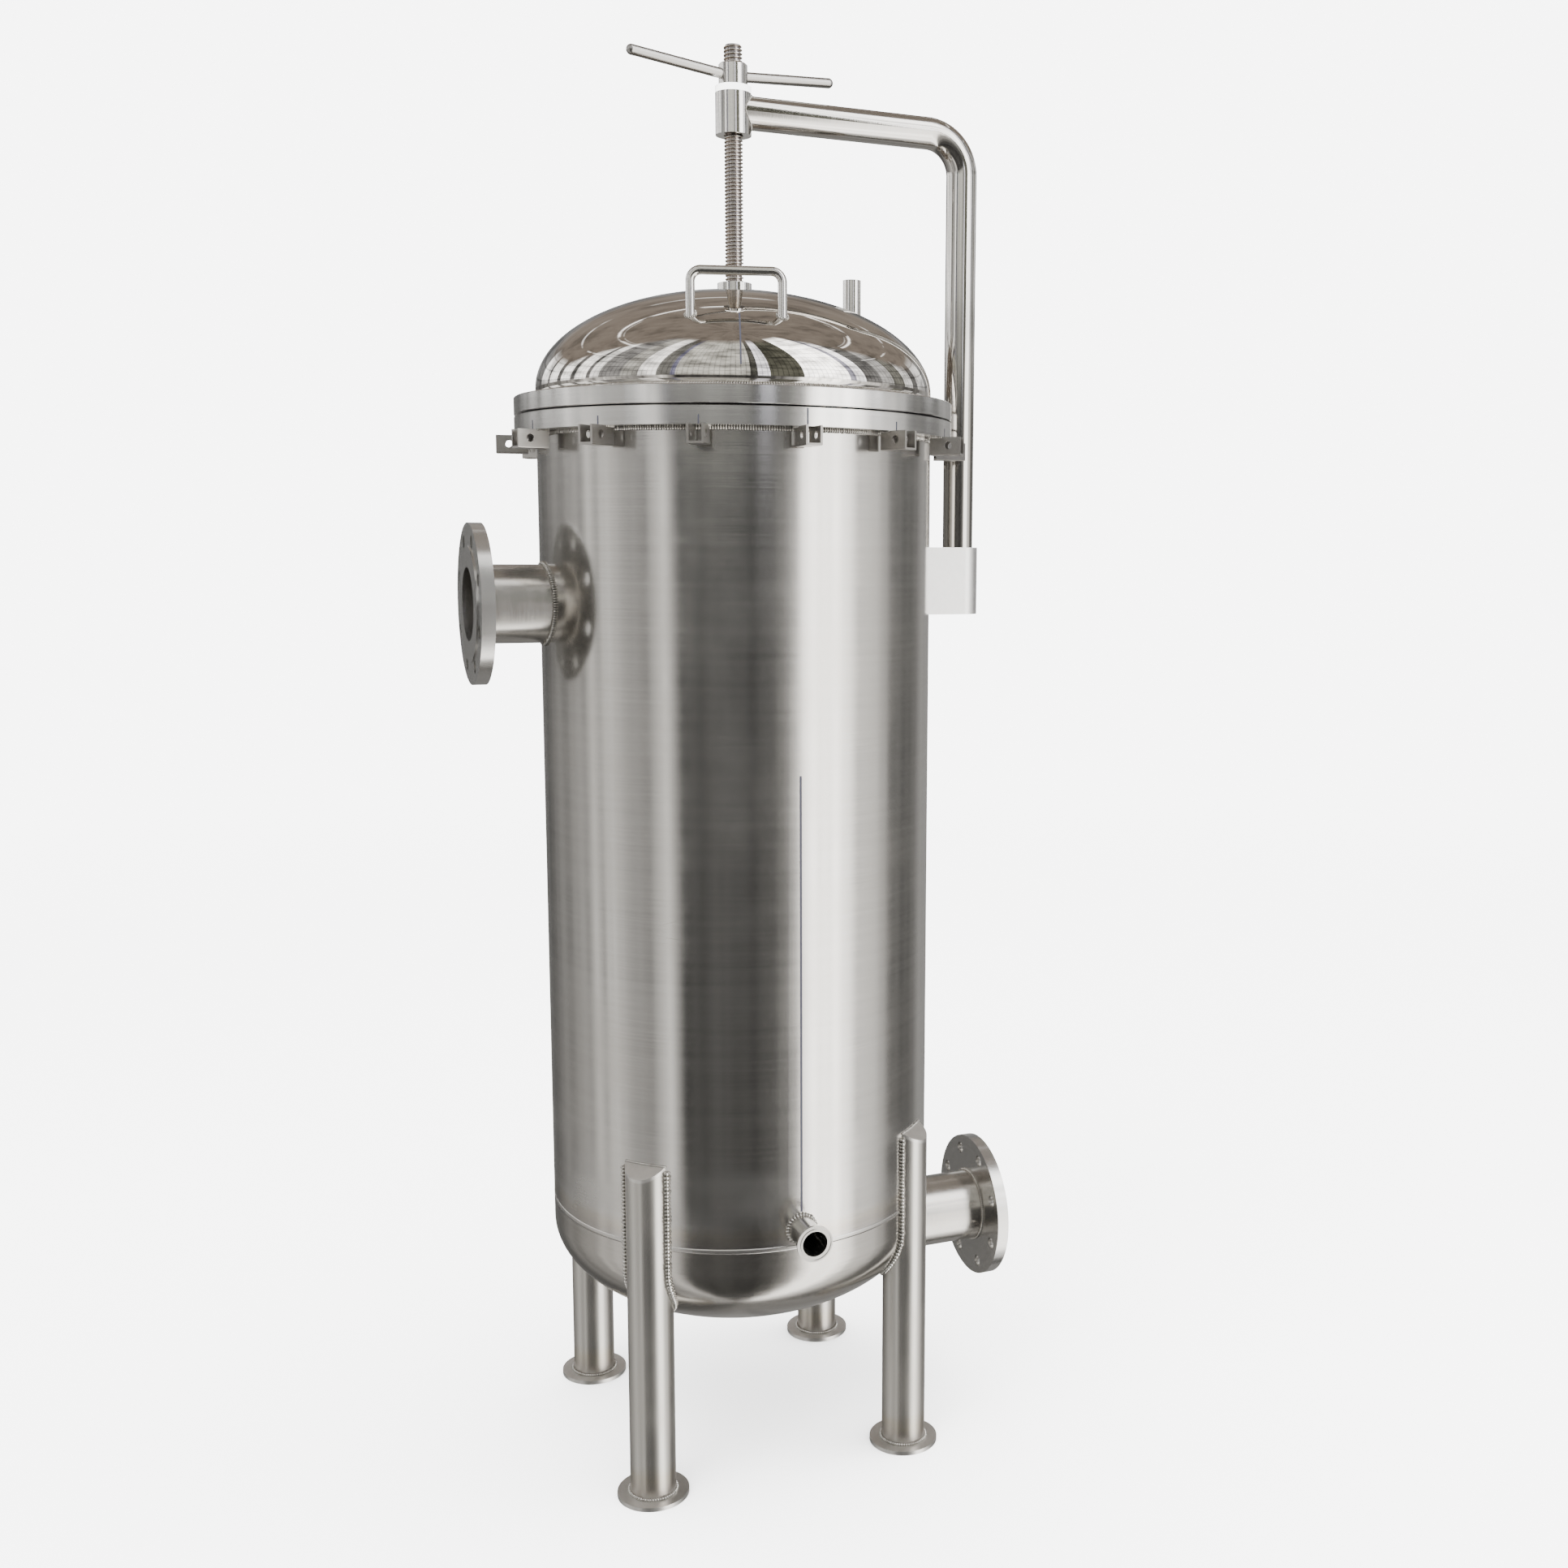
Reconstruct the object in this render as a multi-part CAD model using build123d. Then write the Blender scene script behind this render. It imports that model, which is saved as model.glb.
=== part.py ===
from build123d import *
from math import cos, radians, sqrt, tan
import os

# Multi-bag filter housing: a welded stainless pressure vessel on four tube legs, with a flanged
# inlet near the top, a flanged outlet low on the opposite side, a clamp-ferrule drain, and a domed
# lid that hangs from a lifting screw on a swinging davit.  Millimetres.  The origin is on the floor
# at the vessel's axis, +Z up, the inlet towards -X, the outlet and davit mast towards +X and the
# drain towards -Y.

# ---------------------------------------------------------------- driving dimensions
# Vessel
shell_bore_r = 275.0            # inside radius of the rolled shell
wall = 3.0                      # shell and head plate
seam_z = 368.0                  # weld between the shell and the bottom head
head_skirt = 35.0               # straight flange of the bottom head
head_dish = 140.0               # outside depth of the elliptical dish
closing_seam_angle = 110.0      # where a turned plate closes on itself, clear of every nozzle
lid_skirt = 13.0                # straight flange of the lid's dome
body_flange_z = 1467.5          # underside of the body flange
flange_r = 308.0                # both main flanges
flange_t = 24.0
joint_gap = 2.0                 # daylight between the two main flanges
seal_mid_r = 289.0              # O-ring groove
seal_w = 8.0
groove_depth = 6.0
seal_side_gap = 0.2
tee_running_gap = 0.3           # between the tee nut and its thrust washer

# Legs
leg_inset = 9.3                 # leg axis inside the shell's outside
leg_tube_r = 31.75
leg_wall = 2.5
leg_angles = (45.0, 135.0, 225.0, 315.0)
leg_top_z = 484.0               # highest edge of the sloping leg cap, at the shell
leg_cap_slope = 32.0            # degrees below level, outwards
leg_cap_t = 4.0
foot_r = 50.0
foot_t = 6.0

# Process nozzles, DN100 pipe with eight-bolt raised-face flanges
neck_r = 54.0
neck_wall = 4.0
pipe_flange_r = 110.0
pipe_flange_t = 18.0
raised_face_r = 79.0
raised_face_t = 2.0
bolt_circle_r = 90.0
bolt_hole_r = 9.0
bolt_count = 8
neck_setback = 6.0              # neck end behind the raised face, for the inner weld
inlet_z = 1236.0
inlet_face = 381.0              # raised face to vessel axis
outlet_z = 265.0
outlet_face = 403.0

# Drain, a 38 mm tube with a 50.5 mm clamp ferrule
drain_z = 393.0
drain_tube_r = 19.0
drain_wall = 1.6
drain_face = 333.0
ferrule_r = 25.25
ferrule_rim_t = 2.9
ferrule_taper = 3.4
ferrule_groove_r = 21.6
ferrule_groove_w = 3.0
ferrule_groove_depth = 1.2
ferrule_length = 13.0

# Swing-bolt lugs under the body flange
lug_count = 14
lug_inner_r = 290.0
lug_outer_r = 333.0
lug_width = 22.0
lug_height = 25.0
lug_wall = 3.0
lug_pin_r = 5.25
lug_pin_inset = 17.0            # pin hole back from the lug's outer end
lug_pin_drop = 11.5             # pin hole below the flange
lug_fold_r = 1.5

# Bag plate, baskets and bags
bag_plate_z = 1142.0            # underside
bag_plate_t = 8.0
bag_count = 4
bag_circle_r = 142.0
basket_r = 86.0
basket_wall = 1.5
basket_length = 770.0
basket_rim_r = 96.0
basket_rim_t = 3.0
basket_play = 1.0
bag_wall = 2.0
bag_play = 0.5
bag_length = 755.0
bag_ring_r = 92.0
bag_ring_t = 6.0
hold_ring_r = 90.0
hold_ring_bore_r = 72.0
hold_t = 8.0
hold_arm_w = 40.0
stud_r = 8.0
stud_above = 45.0
nut_across_flats = 24.0
nut_t = 13.0
stud_play = 0.5

# Lid furniture
handle_angles = (253.5, 73.5)   # where the two handles stand
handle_rod_r = 6.0
handle_span = 118.0
handle_at_r = 219.0
handle_top_z = 1667.0           # centre line of the grip
handle_bend_r = 14.0
vent_at_r = 177.0               # towards the davit mast
vent_r = 13.0
vent_wall = 2.5
vent_top_z = 1699.0
boss_r = 24.0
boss_top_z = 1683.0
boss_seat = 8.0                 # depth of the screw's seat in the boss

# Lifting screw, tee nut and davit
screw_r = 13.0
screw_top_z = 2002.5
screw_chamfer = 2.0
sleeve_r = 25.0
sleeve_z = 1882.5
sleeve_height = 56.0
sleeve_play = 0.5
washer_t = 9.0
tee_r = 20.0
tee_height = 30.0
tee_chamfer = 1.5
tee_thread_play = 0.05
tee_bar_r = 7.0
tee_bar_reach = 158.0
tee_bar_tilt = 4.8
tee_bar_angle = 8.8           # direction of the first bar about the screw
tee_bar_root_z = 14.0           # above the hub's underside
mast_x = 350.0
mast_r = 22.5
mast_wall = 3.0
mast_bend_r = 56.0
arm_z = 1915.0
bracket_z = 1217.0
bracket_height = 100.0
bracket_r = 30.0
bracket_t = 4.0
socket_base_t = 8.0
socket_play = 0.1
mast_foot_gap = 0.2

# ---------------------------------------------------------------- derived levels
shell_r = shell_bore_r + wall
leg_circle_r = shell_r - leg_inset
body_flange_top = body_flange_z + flange_t
lid_flange_z = body_flange_top + joint_gap
lid_flange_top = lid_flange_z + flange_t
dish_z = seam_z - head_skirt
lid_dish_z = lid_flange_top + lid_skirt
bag_plate_top = bag_plate_z + bag_plate_t
basket_top = bag_plate_top + basket_rim_t
bag_top = basket_top + bag_ring_t
sleeve_top = sleeve_z + sleeve_height
tee_z = sleeve_top + washer_t


# ---------------------------------------------------------------- helpers
def tube(outer_r, inner_r, z0, z1):
    """A plain upright tube."""
    return Pos(0, 0, z0) * (
        Cylinder(outer_r, z1 - z0, align=(Align.CENTER, Align.CENTER, Align.MIN))
        - Cylinder(inner_r, z1 - z0, align=(Align.CENTER, Align.CENTER, Align.MIN))
    )


def rod(r, z0, z1):
    """A plain upright bar."""
    return Pos(0, 0, z0) * Cylinder(r, z1 - z0, align=(Align.CENTER, Align.CENTER, Align.MIN))


def revolved(points):
    """Turns a closed outline of (radius, height) about the Z axis."""
    outline = Polyline(*[(x, 0, z) for x, z in points], close=True)
    return revolve(make_face(outline), Axis.Z)


def dished_volume(r, depth, z_skirt, z_far, up):
    """The solid under an elliptical dish: a cylinder from z_far to z_skirt, then half an ellipsoid."""
    sign = 1 if up else -1
    with BuildSketch(Plane.XZ) as half:
        with BuildLine():
            Line((0, z_far), (r, z_far))
            Line((r, z_far), (r, z_skirt))
            EllipticalCenterArc((0, z_skirt), r, depth, 0, arc_size=sign * 90)
            Line((0, z_skirt + sign * depth), (0, z_far))
        make_face()
    return Rot(0, 0, closing_seam_angle) * revolve(half.sketch, Axis.Z)


def along_x(solid, x, z):
    """Lays an upright solid down, its +Z now pointing away from the axis along +X, starting at x."""
    return Pos(x, 0, z) * Rot(0, 90, 0) * solid


def around(solid, angle):
    """Turns a solid about the vessel's axis."""
    return Rot(0, 0, angle) * solid


# ---------------------------------------------------------------- vessel
vessel_outside = dished_volume(shell_r, head_dish, dish_z, body_flange_z, up=False)
vessel_inside = dished_volume(shell_bore_r, head_dish - wall, dish_z, body_flange_z, up=False)
lid_outside = dished_volume(shell_r, head_dish, lid_dish_z, lid_flange_top, up=True)
lid_inside = dished_volume(shell_bore_r, head_dish - wall, lid_dish_z, lid_flange_top, up=True)


def neck_blank(r, face, z, angle):
    """A bar along a nozzle's axis, from the vessel's axis out to the given distance."""
    return around(along_x(rod(r, 0, face), 0, z), angle)


def make_shell():
    """The rolled shell, with the openings for the inlet and the drain."""
    shell = tube(shell_r, shell_bore_r, seam_z, body_flange_z)
    shell -= neck_blank(neck_r, inlet_face, inlet_z, 180)
    shell -= neck_blank(drain_tube_r, drain_face, drain_z, 270)
    return shell


def make_bottom_head():
    """The elliptical bottom head, with the opening for the outlet."""
    below_seam = Pos(0, 0, seam_z) * Box(
        4 * shell_r, 4 * shell_r, 4 * shell_r, align=(Align.CENTER, Align.CENTER, Align.MAX)
    )
    head = (vessel_outside - vessel_inside) & below_seam
    return head - neck_blank(neck_r, outlet_face, outlet_z, 0)


def make_body_flange():
    """The ring that the lid closes on, with its O-ring groove."""
    ring = tube(flange_r, shell_bore_r, body_flange_z, body_flange_top)
    ring -= tube(
        seal_mid_r + seal_w / 2, seal_mid_r - seal_w / 2, body_flange_top - groove_depth, body_flange_top
    )
    return chamfer(ring.edges().filter_by(GeomType.CIRCLE).group_by(Axis.Z)[-1].sort_by(SortBy.RADIUS)[-1], 1)


def make_o_ring():
    """The seal, lying on its groove's floor just below the lid so that the lid can swing over it."""
    cord_r = seal_w / 2 - seal_side_gap
    return Pos(0, 0, body_flange_top - groove_depth + cord_r) * Torus(seal_mid_r, cord_r)


def lug_angle(i):
    """Direction of a swing-bolt lug: one faces the drain, the rest follow at even steps."""
    return 270 + i * 360 / lug_count


def make_lug():
    """One folded U-shaped lug on +X, open upwards and outwards, drilled across for a swing bolt's pin."""
    length = lug_outer_r - lug_inner_r
    end = Plane(origin=(lug_inner_r, 0, body_flange_z), x_dir=(0, 1, 0), z_dir=(1, 0, 0))
    outside = Rectangle(lug_width, lug_height, align=(Align.CENTER, Align.MAX))
    outside = fillet(outside.vertices().group_by(Axis.Y)[0], lug_fold_r)
    channel = Rectangle(lug_width - 2 * lug_wall, lug_height - lug_wall, align=(Align.CENTER, Align.MAX))
    lug = end * extrude(outside - channel, length)
    pin = Pos(lug_outer_r - lug_pin_inset, 0, body_flange_z - lug_pin_drop) * Rot(90, 0, 0) * Cylinder(
        lug_pin_r, 2 * lug_width
    )
    return lug - pin


# ---------------------------------------------------------------- legs
def cap_plane_z(r, drop=0.0):
    """Height of the sloping leg top at a distance from the vessel's axis."""
    return leg_top_z - (r - shell_r) * tan(radians(leg_cap_slope)) - drop


def above_cap(drop):
    """Everything above the leg's sloping top, lowered by drop."""
    size = 8 * leg_tube_r
    cutter = Box(size, size, size, align=(Align.CENTER, Align.CENTER, Align.MIN))
    return Pos(leg_circle_r, 0, cap_plane_z(leg_circle_r, drop)) * Rot(0, leg_cap_slope, 0) * cutter


def make_leg():
    """A tube on +X, coped over the shell and head, cut off on a slope under its cap."""
    drop = leg_cap_t / cos(radians(leg_cap_slope))
    leg = Pos(leg_circle_r, 0, 0) * tube(leg_tube_r, leg_tube_r - leg_wall, foot_t, leg_top_z)
    return leg - vessel_outside - above_cap(drop)


def make_leg_cap():
    """The half-moon plate that closes a leg's top against the shell."""
    drop = leg_cap_t / cos(radians(leg_cap_slope))
    blank = Pos(leg_circle_r, 0, 0) * rod(leg_tube_r, dish_z, leg_top_z + leg_tube_r)
    return (blank & above_cap(drop)) - above_cap(0) - vessel_outside


def make_foot():
    """The round foot plate under a leg."""
    return Pos(leg_circle_r, 0, 0) * rod(foot_r, 0, foot_t)


# ---------------------------------------------------------------- nozzles
def make_neck(face, z, angle):
    """A pipe neck, coped flush with the inside of the vessel."""
    pipe = tube(neck_r, neck_r - neck_wall, 0, face - neck_setback)
    return around(along_x(pipe, 0, z), angle) - vessel_inside


def make_pipe_flange(face, z, angle):
    """A raised-face slip-on flange, its bolt holes straddling the vertical."""
    plate = rod(pipe_flange_r, face - raised_face_t - pipe_flange_t, face - raised_face_t)
    plate += rod(raised_face_r, face - raised_face_t - pipe_flange_t, face)
    plate -= rod(neck_r, 0, face - neck_setback)
    plate -= rod(neck_r - neck_wall, 0, face)
    for i in range(bolt_count):
        turn = (i + 0.5) * 360 / bolt_count
        plate -= Rot(0, 0, turn) * Pos(bolt_circle_r, 0, 0) * rod(bolt_hole_r, 0, face)
    return around(along_x(plate, 0, z), angle)


def make_drain_tube():
    """The drain's stub tube, coped flush with the inside of the vessel."""
    pipe = tube(drain_tube_r, drain_tube_r - drain_wall, 0, drain_face - ferrule_length)
    return around(along_x(pipe, 0, drain_z), 270) - vessel_inside


def make_ferrule():
    """The clamp ferrule: a tapered rim with the gasket groove in its face."""
    bore = drain_tube_r - drain_wall
    rim_z = drain_face - ferrule_rim_t
    ferrule = revolved([
        (bore, drain_face - ferrule_length), (drain_tube_r, drain_face - ferrule_length),
        (drain_tube_r, rim_z - ferrule_taper), (ferrule_r, rim_z), (ferrule_r, drain_face), (bore, drain_face),
    ])
    ferrule -= tube(
        ferrule_groove_r + ferrule_groove_w / 2, ferrule_groove_r - ferrule_groove_w / 2,
        drain_face - ferrule_groove_depth, drain_face,
    )
    return around(along_x(ferrule, 0, drain_z), 270)


# ---------------------------------------------------------------- bag plate and what it carries
def bag_places():
    """Where the bags stand in the bag plate."""
    step = 360 / bag_count
    return [Rot(0, 0, step / 2 + i * step) * Pos(bag_circle_r, 0, 0) for i in range(bag_count)]


def make_bag_plate():
    """The plate welded across the shell, with a round seat for each basket and the hold-down stud's hole."""
    plate = rod(shell_bore_r, bag_plate_z, bag_plate_top)
    for place in bag_places():
        plate -= place * rod(basket_r + basket_play, bag_plate_z, bag_plate_top)
    return plate - rod(stud_r, bag_plate_z, bag_plate_top)


def make_basket():
    """A restrainer basket: rim, straight wall and flat bottom."""
    floor_z = bag_plate_top - basket_length
    return revolved([
        (0, floor_z), (basket_r, floor_z), (basket_r, bag_plate_top), (basket_rim_r, bag_plate_top),
        (basket_rim_r, basket_top), (basket_r - basket_wall, basket_top),
        (basket_r - basket_wall, floor_z + basket_wall), (0, floor_z + basket_wall),
    ])


def make_bag():
    """A filter bag hung in its basket by a stiff ring, open at the top."""
    outer = basket_r - basket_wall - bag_play
    inner = outer - bag_wall
    floor_z = basket_top - bag_length
    return revolved([
        (0, floor_z), (outer, floor_z), (outer, basket_top), (bag_ring_r, basket_top), (bag_ring_r, bag_top),
        (inner, bag_top), (inner, floor_z + bag_wall), (0, floor_z + bag_wall),
    ])


def make_hold_down():
    """The spider that presses the bag rings down: a ring over each bag on crossed flat bars."""
    spider = rod(hold_arm_w / 2 + stud_r, bag_top, bag_top + hold_t)
    reach = bag_circle_r - (hold_ring_r + hold_ring_bore_r) / 2
    for place in bag_places():
        spider += place * rod(hold_ring_r, bag_top, bag_top + hold_t)
    for i in range(bag_count):
        arm = Box(reach, hold_arm_w, hold_t, align=(Align.MIN, Align.CENTER, Align.MIN))
        spider += Rot(0, 0, (i + 0.5) * 360 / bag_count) * Pos(0, 0, bag_top) * arm
    for place in bag_places():
        spider -= place * rod(hold_ring_bore_r, bag_top, bag_top + hold_t)
    return spider - rod(stud_r + stud_play, bag_top, bag_top + hold_t)


def make_hold_nut():
    """The hexagon nut on the hold-down stud."""
    hexagon = RegularPolygon(nut_across_flats / 2, 6, major_radius=False)
    nut = Pos(0, 0, bag_top + hold_t) * extrude(hexagon, nut_t)
    return nut - rod(stud_r, bag_top, bag_top + hold_t + nut_t)


# ---------------------------------------------------------------- lid
def dome_z(r):
    """Height of the dome's outside at a distance from the axis."""
    return lid_dish_z + head_dish * sqrt(1 - (r / shell_r) ** 2)


def make_lid_flange():
    """The flat ring under the dome."""
    ring = tube(flange_r, shell_bore_r, lid_flange_z, lid_flange_top)
    return chamfer(ring.edges().filter_by(GeomType.CIRCLE).sort_by(SortBy.RADIUS)[-2:], 1)


def make_dome():
    """The elliptical lid head, open to the vent."""
    dome = lid_outside - lid_inside
    return dome - Pos(vent_at_r, 0, 0) * rod(vent_r, lid_flange_top, vent_top_z)


def make_vent():
    """The plain vent stub, coped flush with the inside of the dome."""
    pipe = tube(vent_r, vent_r - vent_wall, lid_flange_top, vent_top_z)
    return Pos(vent_at_r, 0, 0) * pipe - lid_inside


def make_handle(angle):
    """A bent round-bar handle standing on the dome, its grip facing outwards at the given angle."""
    half = handle_span / 2
    z_foot = dome_z(sqrt(handle_at_r ** 2 + half ** 2)) - handle_rod_r
    path = FilletPolyline(
        (handle_at_r, -half, z_foot), (handle_at_r, -half, handle_top_z),
        (handle_at_r, half, handle_top_z), (handle_at_r, half, z_foot), radius=handle_bend_r,
    )
    bar = sweep(Plane(path @ 0, z_dir=path % 0) * Circle(handle_rod_r), path)
    return around(bar, angle) - lid_outside


def make_boss():
    """The round boss at the crown, coped to it, that seats the lifting screw."""
    with BuildSketch(Plane.XZ) as half:
        with BuildLine():
            rim = Line((boss_r, dome_z(boss_r)), (boss_r, boss_top_z))
            Polyline(rim @ 1, (screw_r, boss_top_z), (screw_r, boss_top_z - boss_seat),
                     (0, boss_top_z - boss_seat), (0, dome_z(0)))
            Spline((0, dome_z(0)), (boss_r / 2, dome_z(boss_r / 2)), rim @ 0)
        make_face()
    return revolve(half.sketch, Axis.Z)


def make_screw():
    """The lifting screw, seated in the boss."""
    screw = rod(screw_r, boss_top_z - boss_seat, screw_top_z)
    return chamfer(screw.edges().group_by(Axis.Z)[-1], screw_chamfer)


# ---------------------------------------------------------------- davit
def make_mast():
    """The davit: one tube, bent from upright mast to level arm and coped to the sleeve."""
    foot_z = bracket_z + socket_base_t + mast_foot_gap
    path = FilletPolyline((mast_x, 0, foot_z), (mast_x, 0, arm_z), (0, 0, arm_z), radius=mast_bend_r)
    ring = Circle(mast_r) - Circle(mast_r - mast_wall)
    bent = sweep(Plane(path @ 0, z_dir=path % 0) * ring, path)
    return bent - rod(sleeve_r, sleeve_z - mast_r, sleeve_top + mast_r) - Pos(-mast_x, 0, arm_z) * Box(
        2 * mast_x, 2 * mast_x, 2 * mast_x
    )


def make_bracket():
    """The U-shaped strap that carries the mast's socket off the shell."""
    outside = Rectangle(mast_x, 2 * bracket_r, align=(Align.MIN, Align.CENTER)) + Pos(mast_x, 0) * Circle(bracket_r)
    inside_r = bracket_r - bracket_t
    inside = Rectangle(mast_x, 2 * inside_r, align=(Align.MIN, Align.CENTER)) + Pos(mast_x, 0) * Circle(inside_r)
    strap = Pos(0, 0, bracket_z) * extrude(outside - inside, bracket_height)
    return strap - rod(shell_r, bracket_z, bracket_z + bracket_height)


def make_socket():
    """The mast's bearing tube inside the strap."""
    return Pos(mast_x, 0, 0) * tube(
        bracket_r - bracket_t, mast_r + socket_play, bracket_z + socket_base_t, bracket_z + bracket_height
    )


def make_socket_base():
    """The disc that the mast stands on."""
    return Pos(mast_x, 0, 0) * rod(bracket_r - bracket_t, bracket_z, bracket_z + socket_base_t)


def make_sleeve():
    """The sleeve at the arm's end that the screw slides through."""
    return tube(sleeve_r, screw_r + sleeve_play, sleeve_z, sleeve_top)


def make_washer():
    """The plastic thrust washer between the sleeve and the tee nut."""
    return tube(sleeve_r, screw_r + sleeve_play, sleeve_top, tee_z)


def make_tee_nut():
    """The hub of the tee nut, turned by its two bars."""
    hub = tube(tee_r, screw_r + tee_thread_play, tee_z + tee_running_gap, tee_z + tee_height)
    return chamfer(hub.edges().group_by(Axis.Z)[-1].sort_by(SortBy.RADIUS)[-1], tee_chamfer)


def make_tee_bar(turn):
    """One round bar of the tee, tilted up a little, with a domed end."""
    length = tee_bar_reach - tee_bar_r
    bar = rod(tee_bar_r, 0, length) + Pos(0, 0, length) * Sphere(tee_bar_r)
    bar = Pos(0, 0, tee_z + tee_bar_root_z) * Rot(0, 90 - tee_bar_tilt, 0) * bar
    bar -= rod(tee_r, tee_z, tee_z + tee_height)
    return Rot(0, 0, turn) * bar


# ---------------------------------------------------------------- the parts
def build():
    """Makes every piece and returns {node name: shape}."""
    parts = {
        "shell": make_shell(),
        "bottom_head": make_bottom_head(),
        "body_flange": make_body_flange(),
        "o_ring": make_o_ring(),
        "bolt_lugs": Compound(children=[around(make_lug(), lug_angle(i)) for i in range(lug_count)]),
        "inlet_neck": make_neck(inlet_face, inlet_z, 180),
        "inlet_flange": make_pipe_flange(inlet_face, inlet_z, 180),
        "outlet_neck": make_neck(outlet_face, outlet_z, 0),
        "outlet_flange": make_pipe_flange(outlet_face, outlet_z, 0),
        "drain_tube": make_drain_tube(),
        "drain_ferrule": make_ferrule(),
        "bag_plate": make_bag_plate(),
        "hold_down_spider": make_hold_down(),
        "hold_down_stud": rod(stud_r, bag_plate_z, bag_top + hold_t + stud_above),
        "hold_down_nut": make_hold_nut(),
        "davit_bracket": make_bracket(),
        "davit_socket": make_socket(),
        "davit_socket_base": make_socket_base(),
        "davit_mast": make_mast(),
        "lift_sleeve": make_sleeve(),
        "thrust_washer": make_washer(),
        "tee_nut": make_tee_nut(),
        "tee_bar_mast_side": make_tee_bar(tee_bar_angle),
        "tee_bar_inlet_side": make_tee_bar(tee_bar_angle + 180),
        "lid_flange": make_lid_flange(),
        "lid_dome": make_dome(),
        "lid_handle_front": make_handle(handle_angles[0]),
        "lid_handle_back": make_handle(handle_angles[1]),
        "lid_vent": make_vent(),
        "lid_boss": make_boss(),
        "lift_screw": make_screw(),
    }
    for i, angle in enumerate(leg_angles, start=1):
        parts[f"leg_{i}"] = around(make_leg(), angle)
        parts[f"leg_cap_{i}"] = around(make_leg_cap(), angle)
        parts[f"foot_plate_{i}"] = around(make_foot(), angle)
    for i, place in enumerate(bag_places(), start=1):
        parts[f"basket_{i}"] = place * make_basket()
        parts[f"filter_bag_{i}"] = place * make_bag()
    return parts


def main():
    """Writes one STEP file for each piece."""
    os.makedirs("parts", exist_ok=True)
    for name, shape in build().items():
        export_step(shape, f"parts/{name}.step")


main()
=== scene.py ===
"""Dresses a stainless multi-bag filter housing: weld beads, lifting thread, felt bags, finishes and studio."""

import logging
import math
from dataclasses import dataclass
from enum import Enum
from typing import Callable, Iterable, Sequence

import bpy
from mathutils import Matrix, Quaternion, Vector

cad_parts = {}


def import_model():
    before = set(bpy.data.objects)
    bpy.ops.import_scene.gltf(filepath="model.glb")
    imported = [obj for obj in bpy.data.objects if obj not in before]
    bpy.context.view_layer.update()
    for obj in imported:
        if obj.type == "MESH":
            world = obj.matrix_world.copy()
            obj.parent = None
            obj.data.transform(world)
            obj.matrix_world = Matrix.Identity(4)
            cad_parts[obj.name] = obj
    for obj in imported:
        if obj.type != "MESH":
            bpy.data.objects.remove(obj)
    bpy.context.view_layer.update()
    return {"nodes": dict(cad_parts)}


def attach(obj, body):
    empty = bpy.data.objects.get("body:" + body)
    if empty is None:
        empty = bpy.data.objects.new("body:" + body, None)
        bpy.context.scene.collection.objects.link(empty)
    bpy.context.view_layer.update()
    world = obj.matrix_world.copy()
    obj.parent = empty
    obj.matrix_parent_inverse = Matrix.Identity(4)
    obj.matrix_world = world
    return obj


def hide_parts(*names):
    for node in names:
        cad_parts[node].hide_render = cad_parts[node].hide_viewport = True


LOG = logging.getLogger("filter_housing")
Point = tuple[float, float, float]
Colour = tuple[float, float, float]
Stops = Sequence[tuple[float, Colour | float]]
TURN = 2 * math.pi


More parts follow.
